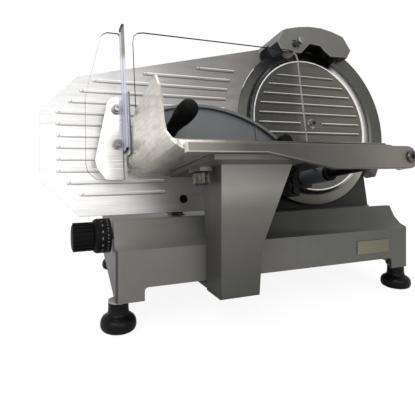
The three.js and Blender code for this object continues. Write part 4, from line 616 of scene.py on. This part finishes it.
def make_finishes(look):
    """Every material of the slicer, by the name of its finish."""
    upright = {"spread": (0.03, 0.15), "axis": "Z"}
    hood = {"spread": (0.06, 0.2)}
    rail = {"spread": (-0.16, 0.2)}
    plate_rib = {"metallic": 0.2, "streak": 0.1, "scratch": 0.15}
    cover = {"spread": (0.02, 0.24)}
    return {
        # Painted light: the coat runs from lit at the left end to shaded at the right end.
        "coat": coated_metal("grey_coat", look.coat_lit_left, look.coat_shaded_right),
        # Painted light and shade on the base's upper faces, darkest along the middle of the cove.
        "coat_top": coated_metal("grey_coat_top", "7a7973", "706f6a", "4f4f4b", "40403d", "42423e", "52524e"),
        # Painted shade on the base's left end.
        "coat_side": coated_metal("grey_coat_side", "383734", "343431"),
        # Painted highlight along the base's crease and upper edges.
        "coat_edge": coated_metal("grey_coat_edge", "8f8e88", "7b7a75", "5f5f5a", "5c5c57", roughness=0.34),
        # Painted light and shade: darker at the bottom, lighter at the top.
        "arm": coated_metal("arm_coat", "40403c", "44443f", "494843", "504f4a", "575650", "696862", "94938b",
                            **upright),
        # Painted shade on the arm's left and lower faces.
        "arm_side": coated_metal("arm_coat_side", "383835", "403f3b", "4a4944", "4f4e4a", **upright),
        # Painted light: lighter at the left end, with the light falling off to the right.
        "rail": coated_metal("rail_coat", "8a877e", "403f3a", "484742", "5a5952", "75726a", "77756c",
                             "6e6c64", roughness=0.36, **rail),
        # Painted highlight on the rail's edges.
        "rail_edge": coated_metal("rail_coat_edge", "d8d5cd", "8a8880", "55534e", "4c4b47", "55544f",
                                  "62605a", roughness=0.3, **rail),
        # Painted shade on the housing's faces towards the blade, darkest at the left; the rod bracket is dark
        # in this coat too.
        "dark_coat": coated_metal("dark_coat", "111110", "2e2f2c", roughness=0.45, metallic=0.0,
                                  specular=0.18, **hood),
        "ring": coated_metal("ring_coat", "5d5c56", "4c4c47", roughness=0.36, spread=(0.18, 0.27),
                             metallic=0.4),
        "hood": coated_metal("hood_coat", "70706a", "65635f", roughness=0.38, **hood),
        # Painted highlight on the hood's edges.
        "hood_edge": coated_metal("hood_coat_edge", "85857f", "74726d", roughness=0.34, **hood),
        "shade": coated_metal("shaded_coat", "161615", "1b1b19", roughness=0.5, **hood),
        # Painted light and shade: white at the left end, greyer towards the blade, and darker up the height.
        "gauge": brushed_metal("gauge_aluminium", (0.0, "ffffff"), (0.3, "f8f6f3"), (0.5, "c0bdba"),
                               (0.65, "a8a5a2"), (0.8, "a3a09d"), (1.0, "83807d"), metallic=0.35,
                               roughness=0.34, painted_height_light=((0.0, "ffffff"), (1.0, "dcdcdc"))),
        # Painted highlight on the tops of the plate's ribs.
        "gauge_crest": brushed_metal("gauge_rib_crest", (0.0, "ffffff"), (0.5, "f0efec"), (1.0, "c9c7c3"),
                                     **plate_rib),
        # Painted shade under the plate's ribs and on their left ends.
        "gauge_under": brushed_metal("gauge_rib_foot", (0.0, "c6c4c1"), (0.4, "9b9996"), (1.0, "4b4a47"),
                                     roughness=0.4, **plate_rib),
        # Painted light: the cover runs from dark at the left to lighter at the right.
        "cover": brushed_metal("cover_aluminium", (0.0, "3f3e39"), (0.36, "504e48"), (0.42, "6a6861"),
                               (0.6, "706e66"), (0.82, "767369"), (1.0, "767369"), scratch=0.5, metallic=0.6,
                               **cover),
        # Painted highlights on the cover's rim.
        "cover_rim": rim_highlight_metal("cover_rim", "4b4a44", "f6f4ee"),
        # Painted highlight on the tops and right ends of the cover's ribs.
        "cover_crest": brushed_metal("cover_rib_crest", (0.0, "e4e1da"), (1.0, "fbf9f2"), roughness=0.25,
                                     **plate_rib, **cover),
        # Painted shade under the cover's ribs.
        "cover_under": brushed_metal("cover_rib_foot", (0.0, "262622"), (1.0, "35342f"), metallic=0.3,
                                     roughness=0.4, scratch=0.3, **cover),
        # Painted reflections: bright at the left end, dark to the right, with a bright band partway up.
        "tray": brushed_metal("table_stainless", (0.0, "fbf3e8"), (0.12, "dad2c8"), (0.35, "8c867f"),
                              (1.0, "363431"), roughness=0.16, spread=(-0.17, 0.0), stretch=(90, 6, 60),
                              metallic=0.55, painted_height_light=((0.2, "c2c2c2"), (0.3, "dadada"), (0.36, "ffffff"),
                                                   (0.45, "ffffff"), (0.55, "dedede"))),
        "sheet": brushed_metal("bracket_stainless", (0.0, "f2f1ef"), (1.0, "d8d7d4"), roughness=0.22,
                               metallic=0.6),
        # Painted shade: dark outlines on the bracket's edges.
        "sheet_edge": turned_metal("bracket_edge", "6f6f6b", "4b4b48"),
        # Painted reflection bright down the right side; painted shadow, near black, across the top under the
        # sharpener.
        "blade": disc_metal("blade_steel", (0.0, "42433c"), (0.2, "57554c"), (0.37, "8a877d"),
                            (0.45, "efede6"), (0.655, "ffffff"), (0.67, "121211"), (0.78, "161614"),
                            (0.86, "101010"), (0.9, "3a3b36"), (1.0, "42433c")),
        "steel": turned_metal("machined_steel", "a3a29e", "6f6e6b"),
        "dark_steel": turned_metal("dark_steel", "403f3c", "262524"),
        "chrome": turned_metal("polished_chrome", "c9c8c4", "93928e", roughness=0.14),
        "knurl": turned_metal("knurled_steel", "77756f", "4c4b47", roughness=0.34),
        "pusher": coated_metal("pusher_coat", "666a6c", "606264", roughness=0.4, spread=(-0.16, 0.05)),
        "black": moulded("black_plastic", "121212", "0a0a0a", roughness=0.5, specular=0.08),
        "foot": rubber_foot("foot_rubber"),
        "belt": moulded("belt_rubber", "1a1a19", "0e0e0e", roughness=0.7, specular=0.2),
        "clear": clear_sheet("clear_plastic", look.clear_tint, 0.006),
        "clear_strip": clear_sheet("clear_plastic_strip", (0.83, 0.83, 0.95), 0.5, 0.305),
        # Painted shade: dark outlines on the clear plastic's cut edges.
        "clear_edge": moulded("clear_plastic_edge", "17181a", "101012", roughness=0.3, specular=0.08),
        # Painted glint on the clear shield's right edge.
        "clear_glint": moulded("clear_plastic_glint", "c4c4be", "a9a9a4", roughness=0.2, specular=0.3),
        "plate": brushed_metal("name_plate_metal", (0.0, "858170"), (1.0, "726f5f"), spread=(0.11, 0.18),
                               turn=0.0, roughness=0.35, metallic=0.6),
        "stone": moulded("grinding_stone", "9c8f84", "6f655c", roughness=0.9, grain=1500, depth=0.2),
        "green": moulded("green_button", "2f7f49", "276c3e", roughness=0.3),
        "red": moulded("red_button", "a8332a", "8d2821", roughness=0.3),
        "numbers": moulded("number_paint", "9a9a96", "84847f", roughness=0.5),
    }


# ---- what the user can change ----


def size_setting(name, text, default, low, high):
    return bpy.props.FloatProperty(name=name, description=text + ", in mm", default=default, min=low,
                                   max=high)


def colour_setting(name, text, default):
    return bpy.props.FloatVectorProperty(name=name, description=text, subtype="COLOR_GAMMA", default=default,
                                         min=0.0, max=1.0)


class SlicerSizes(bpy.types.PropertyGroup):
    edge_round: size_setting("Edge rounding", "Radius of the castings' edges", 1.1, 0.1, 4.0)
    rib_rise: size_setting("Rib rise", "How far the pressed ribs stand proud", 1.7, 0.2, 3.0)
    cover_rib_width: size_setting("Cover rib width", "Width of the blade cover's ribs", 4.4, 1.0, 9.0)
    gauge_rib_width: size_setting("Plate rib width", "Width of the gauge plate's ribs", 5.2, 1.0, 9.0)
    knurls: bpy.props.IntProperty(name="Knurls", description="Teeth round the clamp knob", default=30, min=8,
                                  max=80)


class SlicerLook(bpy.types.PropertyGroup):
    # The left and right tones paint the light falling off from the left end to the right end.
    coat_lit_left: colour_setting("Coat, left", "Coating of the castings at the left end", (0.43, 0.425, 0.405))
    coat_shaded_right: colour_setting("Coat, right", "Coating of the castings at the right end", (0.32, 0.32, 0.3))
    clear_tint: colour_setting("Clear tint", "Tint of the clear plastic", (0.88, 0.9, 0.95))


# ---- the stage ----


def make_stage():
    scene = bpy.context.scene
    scene.view_settings.view_transform = "Standard"
    reach, drop = 6000, -0.4
    corners = [(-reach, -reach, drop), (reach, -reach, drop), (reach, reach, drop), (-reach, reach, drop)]
    floor = add_object("studio_floor", new_mesh("studio_floor", corners, faces=[(0, 1, 2, 3)]))
    paint = bpy.data.materials.new("pale_floor")
    tree = Nodes(emptied(paint))
    matte = tree.out("ShaderNodeBsdfDiffuse", Color=(0.85, 0.85, 0.85, 1))
    glow = tree.out("ShaderNodeEmission", Color=WHITE, Strength=1.12)
    seen = tree.math("MULTIPLY", tree.add("ShaderNodeLightPath").outputs["Is Camera Ray"], 0.8)
    tree.add("ShaderNodeOutputMaterial", Surface=tree.fed("ShaderNodeMixShader", {}, seen, matte, glow))
    floor.data.materials.append(paint)

    scene.world = bpy.data.worlds.new("studio")
    tree = Nodes(emptied(scene.world))
    soft, white = [tree.out("ShaderNodeBackground", Color=WHITE, Strength=power) for power in (0.62, 1.0)]
    rays = tree.add("ShaderNodeLightPath").outputs
    shown = tree.math("MAXIMUM", rays["Is Camera Ray"], rays["Is Transmission Ray"])
    tree.add("ShaderNodeOutputWorld", Surface=tree.fed("ShaderNodeMixShader", {}, shown, soft, white))

    for name, place, aim, size, power in (
        ("softbox_left", (-1.5, -1.5, 1.5), (0, 0, 0.15), 1.6, 26),
        ("softbox_front", (0.3, -2.4, 1.1), (0, 0, 0.2), 1.4, 14),
        ("softbox_top", (0.1, 0.4, 2.2), (0, 0, 0.1), 1.6, 14),
    ):
        lamp = bpy.data.lights.new(name, "AREA")
        lamp.size = size
        lamp.energy = power
        light = add_object(name, lamp)
        light.location = place
        light.rotation_euler = (Vector(aim) - Vector(place)).to_track_quat("-Z", "Y").to_euler()

    lens = bpy.data.cameras.new("camera")
    lens.lens = 33.09
    lens.sensor_width = 36
    lens.shift_x = 0.066
    lens.shift_y = -0.117
    lens.clip_start = 0.01
    camera = add_object("camera", lens)
    camera.location = (-0.27636, -0.47828, 0.1803)
    camera.rotation_euler = (QUARTER, 0, math.radians(-20.5))
    scene.camera = camera


# ---- the pieces ----


def base_finish(normal, area, centre):
    """Painted highlight on the small upward edge faces, painted shade on the left end, and painted light and
    shade on the upper faces.
    """
    edge_area = 0.0003
    # Painted highlight along the crease and the upper edges.
    if area < edge_area and normal.z > 0.1:
        return "coat_edge"
    # Painted shade on the left end faces.
    if normal.x < -0.3:
        return "coat_side"
    # Painted light and shade on the upper faces, apart from the rest of the coat.
    return "coat_top" if normal.z > 0.15 else "coat"


def hood_finish(normal, area, centre):
    """Painted shade underneath and inside the hole of the hone's button, painted highlight on the edges."""
    hole_radius, edge_area = 8.4, 0.00008
    spot = UNLEAN @ centre / MM
    in_hole = math.hypot(spot.x - HONE_BUTTON[0], spot.z - HONE_BUTTON[1]) < hole_radius
    # Painted shade underneath and in the hole; painted highlight on the small edge faces.
    if normal.z < -0.3 or (in_hole and abs(normal.y) < 0.5):
        return "shade"
    return "hood_edge" if area < edge_area else "hood"


def arm_finish(normal, area, centre):
    """Painted shade on the left and underneath."""
    # Painted shade on faces that turn left or down.
    return "arm_side" if normal.x < -0.5 or normal.z < -0.3 else "arm"


def housing_finish(normal, area, centre):
    """Coated like the base behind, on the right and on the belt box, with painted shade where it faces the
    blade.
    """
    belt_box_from = 0.03
    behind = (UNLEAN @ centre).y > belt_box_from
    # Painted shade on the faces towards the blade.
    return "coat" if behind or normal.y > 0.3 or normal.x > 0.3 else "dark_coat"


def edged(broad, edge, area_from):
    """Picks the edge finish, a painted highlight or painted shade, for every face up to an area in square
    metres.
    """
    return lambda normal, area, centre: broad if area > area_from else edge


def make_castings(sizes):
    edge = sizes.edge_round
    for row in (
        ("base_casting", "coat", edge, 3, base_finish),
        ("carriage_arm", "arm", edge, 3, arm_finish),
        ("front_rail", "rail", 0.7, 2, edged("rail", "rail_edge", 0.0002)),
        ("blade_housing", "dark_coat", edge, 2, housing_finish),
        ("belt_cover", "coat", 0.8),
        ("motor_shell", "coat", edge, 3),
        ("sharpener_hood", "hood", 0.7, 2, hood_finish),
        ("rod_bracket", "dark_coat", 0.5),
        ("name_plate", "plate", 0.2),
    ):
        dress(*row)


def make_feet():
    nodes = ("foot_front_left", "foot_front_right", "foot_rear_left", "foot_rear_right")
    sole_edge, neck, top = (14.5, 0.2), 10.8, 31.7
    bell = curved([sole_edge, (17.4, 1.8), (18.9, 4.6), (19.1, 8.5), (18.2, 12.2), (15.9, 15.0), (13.0, 16.6),
                   (11.7, 18.2), (11.1, 20.5), (neck, 25), (neck, top)], 4)
    profile = [(0, 0.3), (11.5, 0.3), (12.5, 0)] + bell + [(0, top)]
    places = []
    for node in nodes:
        low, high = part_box(node)
        places.append(((low[0] + high[0]) / 2 / MM, (low[1] + high[1]) / 2 / MM, 0))
    pattern = revolve("foot_pattern", profile, 64, Matrix.Rotation(QUARTER, 4, "X"))
    feet = copied("feet", pattern, places, "foot")
    soften(feet)
    settle(feet, nodes[0], "foot", nodes[1:])


def ribbed(node, sheet, runs, width, rise, lit_end, kind, rim_from=None):
    """A sheet and its pressed ribs, one for each (x0, x1, z, y) in mm, as one piece.

    The ribs have a painted highlight on top and painted shade underneath. Their end on the lit_end side, 1
    right or -1 left, has a painted highlight on the cover and painted shade on the plate. Past rim_from, in
    mm, a round sheet has the finish of its rim.
    """
    ends = [(x, y, z) for x0, x1, z, y in runs for x in (x0, x1)]
    edges = [(first, first + 1) for first in range(0, len(ends), 2)]
    lines = new_mesh("ribs", ends, edges)
    ribs = rib_tree().grow("ribs", lines, kind, Rib_Width=width * MM, Rib_Rise=rise * MM)
    soften(sheet)
    soften(ribs)
    count = len(sheet.data.polygons)
    piece = merge(node + "_skin", [sheet, ribs], LEAN)
    order = iter(range(len(piece.data.polygons)))

    def finish_of(normal, area, centre):
        spot = UNLEAN @ centre / MM
        if next(order) < count:
            return kind + "_rim" if rim_from and math.hypot(spot.x, spot.z) > rim_from else kind
        facing = UPRIGHT @ normal
        end = facing.x * lit_end > 0.6
        # Painted shade under the ribs and on the plate's rib ends; painted highlight on their tops and the
        # cover's rib ends.
        if facing.z < -0.5 or (end and lit_end < 0):
            return kind + "_under"
        return kind + "_crest" if facing.z > 0.3 or end else kind

    settle(piece, node, kind, finish_of=finish_of)


def make_blade(sizes):
    bore, root, edge = 12.3, 112.0, 125.0
    blade = revolve("cutting_blade", [
        (bore, 0.0), (108.0, 0.0), (root, -0.8), (112.3, -0.75), (124.6, 0.85), (edge, 1.1), (124.6, 1.35),
        (root, 3.2), (bore, 3.2), (bore, 0.0)], 180, LEAN)
    soften(blade, angle=math.radians(4))
    settle(blade, "blade", "blade")

    hole, hub, front, back, seat = 3.3, 14.0, -8.0, -6.5, -1.9
    flat_to, crease = 101.5, 60
    profile = [(hole, seat), (hole, front), (crease, front), (flat_to, front)]
    profile += arc((103.5, -2.5), 6.0, -88, 0, 12)[1:]
    profile += [(109.5, seat), (108.2, seat), (107.6, -3.4), (103.0, -6.4), (crease, back), (hub, back),
                (hub, seat), (hole, seat)]
    rib_pitch, rib_reach, bolt_room = 15.3, 92.5, 22
    runs = []
    for row in range(-5, 6):
        z = rib_pitch * row
        reach = math.sqrt(rib_reach ** 2 - z ** 2)
        spans = ((-reach, reach),) if row else ((-reach, -bolt_room), (bolt_room, reach))
        runs += [(start, end, z, front) for start, end in spans]
    ribbed("blade_cover", revolve("cover_disc", profile, 180), runs, sizes.cover_rib_width, sizes.rib_rise, 1,
           "cover", flat_to)

    inside, outside, rear, lip = 128.5, 145.0, 13.0, -4.5
    section = [(inside, lip), (119.2, lip), (118.0, -5.4), (118.0, -6.4), (120.6, -9.0)]
    section += arc((141.5, -5.5), 3.5, -90, 0, 8)
    section += [(outside, rear - 1), (outside - 1, rear), (inside, rear), (inside, lip)]
    ring = revolve("ring_guard_skin", section, 84, LEAN, (-36, 62))
    soften(ring, angle=math.radians(30))
    settle(ring, "ring_guard", "ring")
    keep("steel", "blade_shaft", "blade_pulley", "blade_bearing", "tie_rod", "motor_pulley", "motor")
    keep("belt", "drive_belt")


def socket_screw(name, head, height, washer, washer_height, socket, depth, shank, length):
    """A screw along local y with its head's front at zero: round head, hexagon socket and washer."""
    edge, chamfer = 0.5, 0.2
    under = height + washer_height
    profile = [(0, 0), (head - edge, 0), (head, edge), (head, height)]
    if washer:
        profile += [(washer - chamfer, height), (washer, height + chamfer), (washer, under)]
    profile += [(shank, under), (shank, under + length), (0, under + length)]
    hexagon = arc((0, 0), socket, 0, 300, 5)
    return carve(revolve(name, profile, 48), prism("socket", hexagon, -1, depth))


def bolt_finish(normal, area, centre):
    """A knurled head on a chromed washer."""
    head_radius, head_rise = 0.0057, 0.0023
    across, up = centre.x - BLADE_CENTRE.x, centre.z - BLADE_CENTRE.z - head_rise
    return "chrome" if math.hypot(across, up) > head_radius else "knurl"


def make_screws():
    bolt = socket_screw("cover_bolt_skin", 5.6, 4.2, 7.6, 1.0, 3.2, 2.6, 2.9, 6)
    bolt.data.transform(LEAN @ shift(0, -13.5, 0))
    soften(bolt)
    settle(bolt, "cover_bolt", "knurl", finish_of=bolt_finish)

    screw = socket_screw("rail_screw_skin", 6.0, 3.4, None, 0, 3.2, 2.2, 2.6, 12)
    screw.data.transform(LEAN @ shift(ROD[0], -193.7, ROD[1]))
    soften(screw)
    settle(screw, "rail_screw", "knurl")

    pattern = socket_screw("guard_screw_pattern", 4.2, 3.0, 6.0, 0.9, 2.3, 1.8, 2.4, 5.3)
    pattern.data.transform(shift(0, -27.2, 0))
    screws = copied("guard_screws", pattern, [(-310.2, 0, 5.2), (-310.2, 0, -39.9)], "steel")
    screws.data.transform(LEAN)
    soften(screws)
    settle(screws, "guard_screw_upper", "steel", ("guard_screw_lower",))


def make_gauge(sizes):
    left, top, bottom, chamfer_x, low_x, crest_x = -401, 5, -126, -355.5, -88, -78
    mouth, thickness = 125.9, 3
    low, high = [math.degrees(math.acos(-x / mouth)) for x in (low_x, crest_x)]
    outline = [(left, top), (left, -81), (chamfer_x, bottom), (low_x, bottom)]
    outline += arc((0, 0), mouth, 180 + low, 180 - high, 60) + [(crest_x, 120), (chamfer_x, 53.5)]
    plate = prism("gauge_sheet", outline, 0, thickness)
    soften(plate, 0.5, 2, math.radians(30))
    rib_top, rib_pitch, rib_mouth, short_end, long_rows = 79, 14.83, 150, -247, 11
    runs = []
    for row, share in enumerate((0.669, 0.421, 0.207, 0.155, 0.111) + (0.065,) * 6 + (0.102, 0.149)):
        z = rib_top - rib_pitch * row
        right = -math.sqrt(rib_mouth ** 2 - z ** 2) if row < long_rows else short_end
        runs.append((left + (crest_x - left) * share, right, z, 0))
    ribbed("gauge_plate", plate, runs, sizes.gauge_rib_width, sizes.rib_rise, -1, "gauge")
    dress("gauge_bracket", "steel", 0.6)
    dress("gauge_screw", "black", 0.2)
    keep("steel", "gauge_guide_rod", "thickness_nut", "dial_shaft")


def make_dial():
    place = Matrix.Translation((BLADE_CENTRE.x, BLADE_CENTRE.y - 67.0 * MM, 95.4 * MM))
    place = place @ Matrix.Rotation(-QUARTER, 4, "Z")
    knob_left, knob_right = -369, -346.5
    core = revolve("dial_core", [(0, knob_left), (11.5, knob_left), (14.0, -368.2), (14.4, -366.5),
                                 (14.4, knob_right), (0, knob_right)], 64)
    tooth = prism("dial_tooth", [(-1.3, 0), (1.3, 0), (1.1, 2.0), (0.6, 2.5), (-0.6, 2.5), (-1.1, 2.0)],
                  -367.6, -346.9)
    soften(tooth, 0.3)
    knurled("dial_knob", "black", core, tooth, 20, 13.3, place)

    bore, radius, left, right = 5.3, 19, -346.2, -328
    profile = [(bore, left), (15.8, left), (17.4, -345.4), (18.7, -343.4), (radius, -342.4), (radius, right),
               (bore, right), (bore, left)]
    collar = revolve("collar_core", profile, 72)
    soften(collar)
    marks = number_marks(radius, -337.6, 2.9, 16) + number_marks(radius, -331.6, 1.7, 32)
    count = len(collar.data.polygons)
    collar = merge("dial_collar_skin", [collar] + marks, place)
    order = iter(range(len(collar.data.polygons)))
    settle(collar, "dial_collar", "black",
           finish_of=lambda *face: "black" if next(order) < count else "numbers")


def number_marks(radius, along, height, count):
    """Raised numbers from 1 up, set evenly round the local y axis and read from outside."""
    marks = []
    for index in range(count):
        text = bpy.data.curves.new("number", "FONT")
        text.body = str(index + 1)
        text.size = height * 1.4 * MM
        text.extrude = 0.12 * MM
        text.align_x = "CENTER"
        text.align_y = "CENTER"
        text.resolution_u = 2
        label = add_object("number", text)
        mesh = evaluated(label)
        bpy.data.objects.remove(label)
        turn = Matrix.Rotation(2 * math.pi * index / count, 4, "Y")
        mesh.transform(turn @ shift(0, along, radius) @ Matrix.Rotation(QUARTER, 4, "Z"))
        marks.append(add_object("number", mesh))
    return marks


def make_carriage():
    dress("table_tray", "tray", 0.5)
    # Painted shade: dark outlines on the bracket's small edge faces.
    dress("guard_bracket", "sheet", 0.7, 2, edged("sheet", "sheet_edge", 0.0003))
    keep("chrome", "slide_rod", "guide_rail")
    keep("black", "guide_roller")
    place = LEAN @ shift(ROD[0], 0, ROD[1])
    front, rear, radius = -174, -11, 6
    spindle("pusher_rod", "dark_steel", [
        (0, front), (5.6, front), (radius, -173.6), (radius, -11.5), (5.5, rear), (0, rear)], place)
    bore, rear, front = 6.35, -15.5, -70.8
    spindle("pusher_bush", "black", [
        (bore, rear), (8, rear), (8, -65.3), (10.2, -65.3), (10.6, -65.7), (10.6, -70.4), (10.2, front),
        (bore, front), (bore, rear)], place)


def make_clamp(sizes):
    low, high, radius, edge, neck, top = -102.1, -89.1, 7.9, 1.2, 3.5, -80.4
    profile = [(0, low), (6.6, low), (radius, low + edge), (radius, high - edge), (6.6, high), (neck, high),
               (neck, top), (0, top)]
    core = revolve("clamp_core", profile, 48)
    wedge = [(-0.45, -0.2), (0.45, -0.2), (0.1, 0.6), (-0.1, 0.6)]
    tooth = prism("clamp_tooth", wedge, low + 1.4, high - 1.4)
    place = LEAN @ shift(-241, -112, 0) @ Matrix.Rotation(QUARTER, 4, "X")
    knurled("clamp_knob", "knurl", core, tooth, sizes.knurls, radius, place)


def guard_finish(normal, area, centre):
    """Clear on the broad faces, tinted along the folded strip and with painted shade on the cut edges."""
    strip_area, fold_area, sheet_area, fold_to = 0.002, 0.0004, 0.0005, -0.035
    strip = area > strip_area and abs((UPRIGHT @ normal).x) > 0.9
    if strip or (area > fold_area and (UNLEAN @ centre).y < fold_to):
        return "clear_strip"
    # Painted shade on the cut edges.
    return "clear" if area > sheet_area else "clear_edge"


def shield_finish(normal, area, centre):
    """Clear on the broad faces, painted shade on the cut edges and a painted glint down the right one."""
    sheet_area = 0.001
    if area > sheet_area:
        return "clear"
    # Painted glint down the right edge, painted shade on the other cut edges.
    return "clear_glint" if normal.x > 0.5 else "clear_edge"


def make_guards():
    dress("hand_guard", "clear", 1.4, 1, guard_finish)
    dress("clear_shield", "clear", 0.35, 1, shield_finish)


def make_pusher():
    dress("pusher_plate", "pusher", 0.5)
    dress("pusher_knob", "black", 0.4)
    root, root_front, root_rear, grip_front = 8.4, -69, -60.3, -65.2
    grip = curved([(root, 0), (7.9, 8), (9.2, 17), (11.3, 26), (11.9, 34), (11.5, 40), (10.1, 45),
                   (7.0, 48.6), (3.4, 49.8), (0, 50)], 5)
    heading = Vector((0, 1, 0)).rotation_difference(Vector((13, -34, 19))).to_matrix().to_4x4()
    handle = merge("pusher_handle_skin", [
        revolve("handle_grip", [(0, 0)] + grip, 64, shift(HANDLE[0], grip_front, HANDLE[1]) @ heading),
        revolve("handle_root", [(0, root_front), (root, root_front), (root, root_rear), (0, root_rear)], 64,
                shift(HANDLE[0], 0, HANDLE[1]))], LEAN)
    soften(handle)
    settle(handle, "pusher_handle", "black")


def push_button(node, finish, inner, face, wall, proud, place):
    """A push button's shaft, stop collar and rounded knob along local y, outwards from its stone."""
    out = 1 if face > inner else -1
    shaft, collar = 3.6, 5.6
    knob = wall + out * proud
    tip = knob + out * 6
    profile = [(0, inner), (shaft, inner), (shaft, face + out * 0.3), (collar, face + out * 0.3),
               (collar, face + out * 2.8), (shaft, face + out * 2.8), (shaft, knob), (4.9, knob),
               (5.2, knob + out * 0.3), (5.2, tip - out * 1.2), (4.7, tip - out * 0.4), (3.8, tip), (0, tip)]
    spindle(node, finish, profile, LEAN @ shift(place[0], 0, place[1]), 40)


def make_sharpener():
    keep("stone", "hone_stone", "grind_stone")
    push_button("hone_button", "steel", -4.8, -11.3, -30, 10, HONE_BUTTON)
    push_button("grind_button", "chrome", 9.2, 15.7, 50, 7, GRIND_BUTTON)
    keep("steel", "sharpener_post")


def make_rear():
    dress("slice_deflector", "sheet", 0.3, 1)
    dress("switch_plate", "black", 0.4)
    dress("cable_gland", "black", 0.4)
    dress("start_button", "green", 0.4)
    dress("stop_button", "red", 0.4)


# ---- operators ----


class SLICER_OT_finishes(bpy.types.Operator):
    """Make every material"""
    bl_idname = "slicer.finishes"
    bl_label = "Finishes"

    def execute(self, context):
        FINISH.update(make_finishes(context.scene.slicer_look))
        return {"FINISHED"}


class SLICER_OT_stage(bpy.types.Operator):
    """Make the floor, the lights and the camera"""
    bl_idname = "slicer.stage"
    bl_label = "Stage"

    def execute(self, context):
        make_stage()
        return {"FINISHED"}


class SLICER_OT_castings(bpy.types.Operator):
    """Make the base, the arm, the front rail, the housings and the sharpener's hood"""
    bl_idname = "slicer.castings"
    bl_label = "Castings"

    def execute(self, context):
        make_castings(context.scene.slicer_sizes)
        return {"FINISHED"}


class SLICER_OT_feet(bpy.types.Operator):
    """Make the four bell-shaped feet"""
    bl_idname = "slicer.feet"
    bl_label = "Feet"

    def execute(self, context):
        make_feet()
        return {"FINISHED"}


class SLICER_OT_blade(bpy.types.Operator):
    """Make the blade, its ribbed cover and the ring guard"""
    bl_idname = "slicer.blade"
    bl_label = "Blade"

    def execute(self, context):
        make_blade(context.scene.slicer_sizes)
        return {"FINISHED"}


class SLICER_OT_screws(bpy.types.Operator):
    """Make the socket screws"""
    bl_idname = "slicer.screws"
    bl_label = "Screws"

    def execute(self, context):
        make_screws()
        return {"FINISHED"}


class SLICER_OT_gauge(bpy.types.Operator):
    """Dress the thickness plate and what guides it"""
    bl_idname = "slicer.gauge"
    bl_label = "Thickness plate"

    def execute(self, context):
        make_gauge(context.scene.slicer_sizes)
        return {"FINISHED"}


class SLICER_OT_dial(bpy.types.Operator):
    """Make the thickness dial and its numbered collar"""
    bl_idname = "slicer.dial"
    bl_label = "Dial"

    def execute(self, context):
        make_dial()
        return {"FINISHED"}


class SLICER_OT_carriage(bpy.types.Operator):
    """Make the table, the pusher's rod and the slide"""
    bl_idname = "slicer.carriage"
    bl_label = "Carriage"

    def execute(self, context):
        make_carriage()
        return {"FINISHED"}


class SLICER_OT_clamp(bpy.types.Operator):
    """Make the knurled knob that clamps the table"""
    bl_idname = "slicer.clamp"
    bl_label = "Clamp knob"

    def execute(self, context):
        make_clamp(context.scene.slicer_sizes)
        return {"FINISHED"}


class SLICER_OT_guards(bpy.types.Operator):
    """Make the clear hand guard and the clear shield"""
    bl_idname = "slicer.guards"
    bl_label = "Clear guards"

    def execute(self, context):
        make_guards()
        return {"FINISHED"}


class SLICER_OT_pusher(bpy.types.Operator):
    """Make the pusher, its handle and its knob"""
    bl_idname = "slicer.pusher"
    bl_label = "Pusher"

    def execute(self, context):
        make_pusher()
        return {"FINISHED"}


class SLICER_OT_sharpener(bpy.types.Operator):
    """Make the sharpener's stones and push buttons"""
    bl_idname = "slicer.sharpener"
    bl_label = "Sharpener"

    def execute(self, context):
        make_sharpener()
        return {"FINISHED"}


class SLICER_OT_rear(bpy.types.Operator):
    """Make the slice deflector, the switches and the cable gland"""
    bl_idname = "slicer.rear"
    bl_label = "Rear"

    def execute(self, context):
        make_rear()
        return {"FINISHED"}


STEPS = (SLICER_OT_finishes, SLICER_OT_stage, SLICER_OT_castings, SLICER_OT_feet, SLICER_OT_blade,
         SLICER_OT_screws, SLICER_OT_gauge, SLICER_OT_dial, SLICER_OT_carriage, SLICER_OT_clamp,
         SLICER_OT_guards, SLICER_OT_pusher, SLICER_OT_sharpener, SLICER_OT_rear)


class SLICER_PT_panel(bpy.types.Panel):
    """Lists the steps and the sizes of the slicer"""
    bl_idname = "SLICER_PT_panel"
    bl_label = "Meat slicer"
    bl_space_type = "VIEW_3D"
    bl_region_type = "UI"
    bl_category = "Slicer"

    def draw(self, context):
        layout = self.layout
        for group in (context.scene.slicer_sizes, context.scene.slicer_look):
            for key in group.__annotations__:
                layout.prop(group, key)
        for step in STEPS:
            layout.operator(step.bl_idname)


CLASSES = (SlicerSizes, SlicerLook) + STEPS + (SLICER_PT_panel,)


def register():
    for cls in CLASSES:
        bpy.utils.register_class(cls)
    bpy.types.Scene.slicer_sizes = bpy.props.PointerProperty(type=SlicerSizes)
    bpy.types.Scene.slicer_look = bpy.props.PointerProperty(type=SlicerLook)


def unregister():
    del bpy.types.Scene.slicer_look
    del bpy.types.Scene.slicer_sizes
    for cls in reversed(CLASSES):
        bpy.utils.unregister_class(cls)


def main():
    register()
    for step in STEPS:
        done = getattr(bpy.ops.slicer, step.bl_idname.split(".")[1])()
        if done != {"FINISHED"}:
            raise RuntimeError(step.bl_label + " did not finish")


if __name__ == "__main__":
    main()
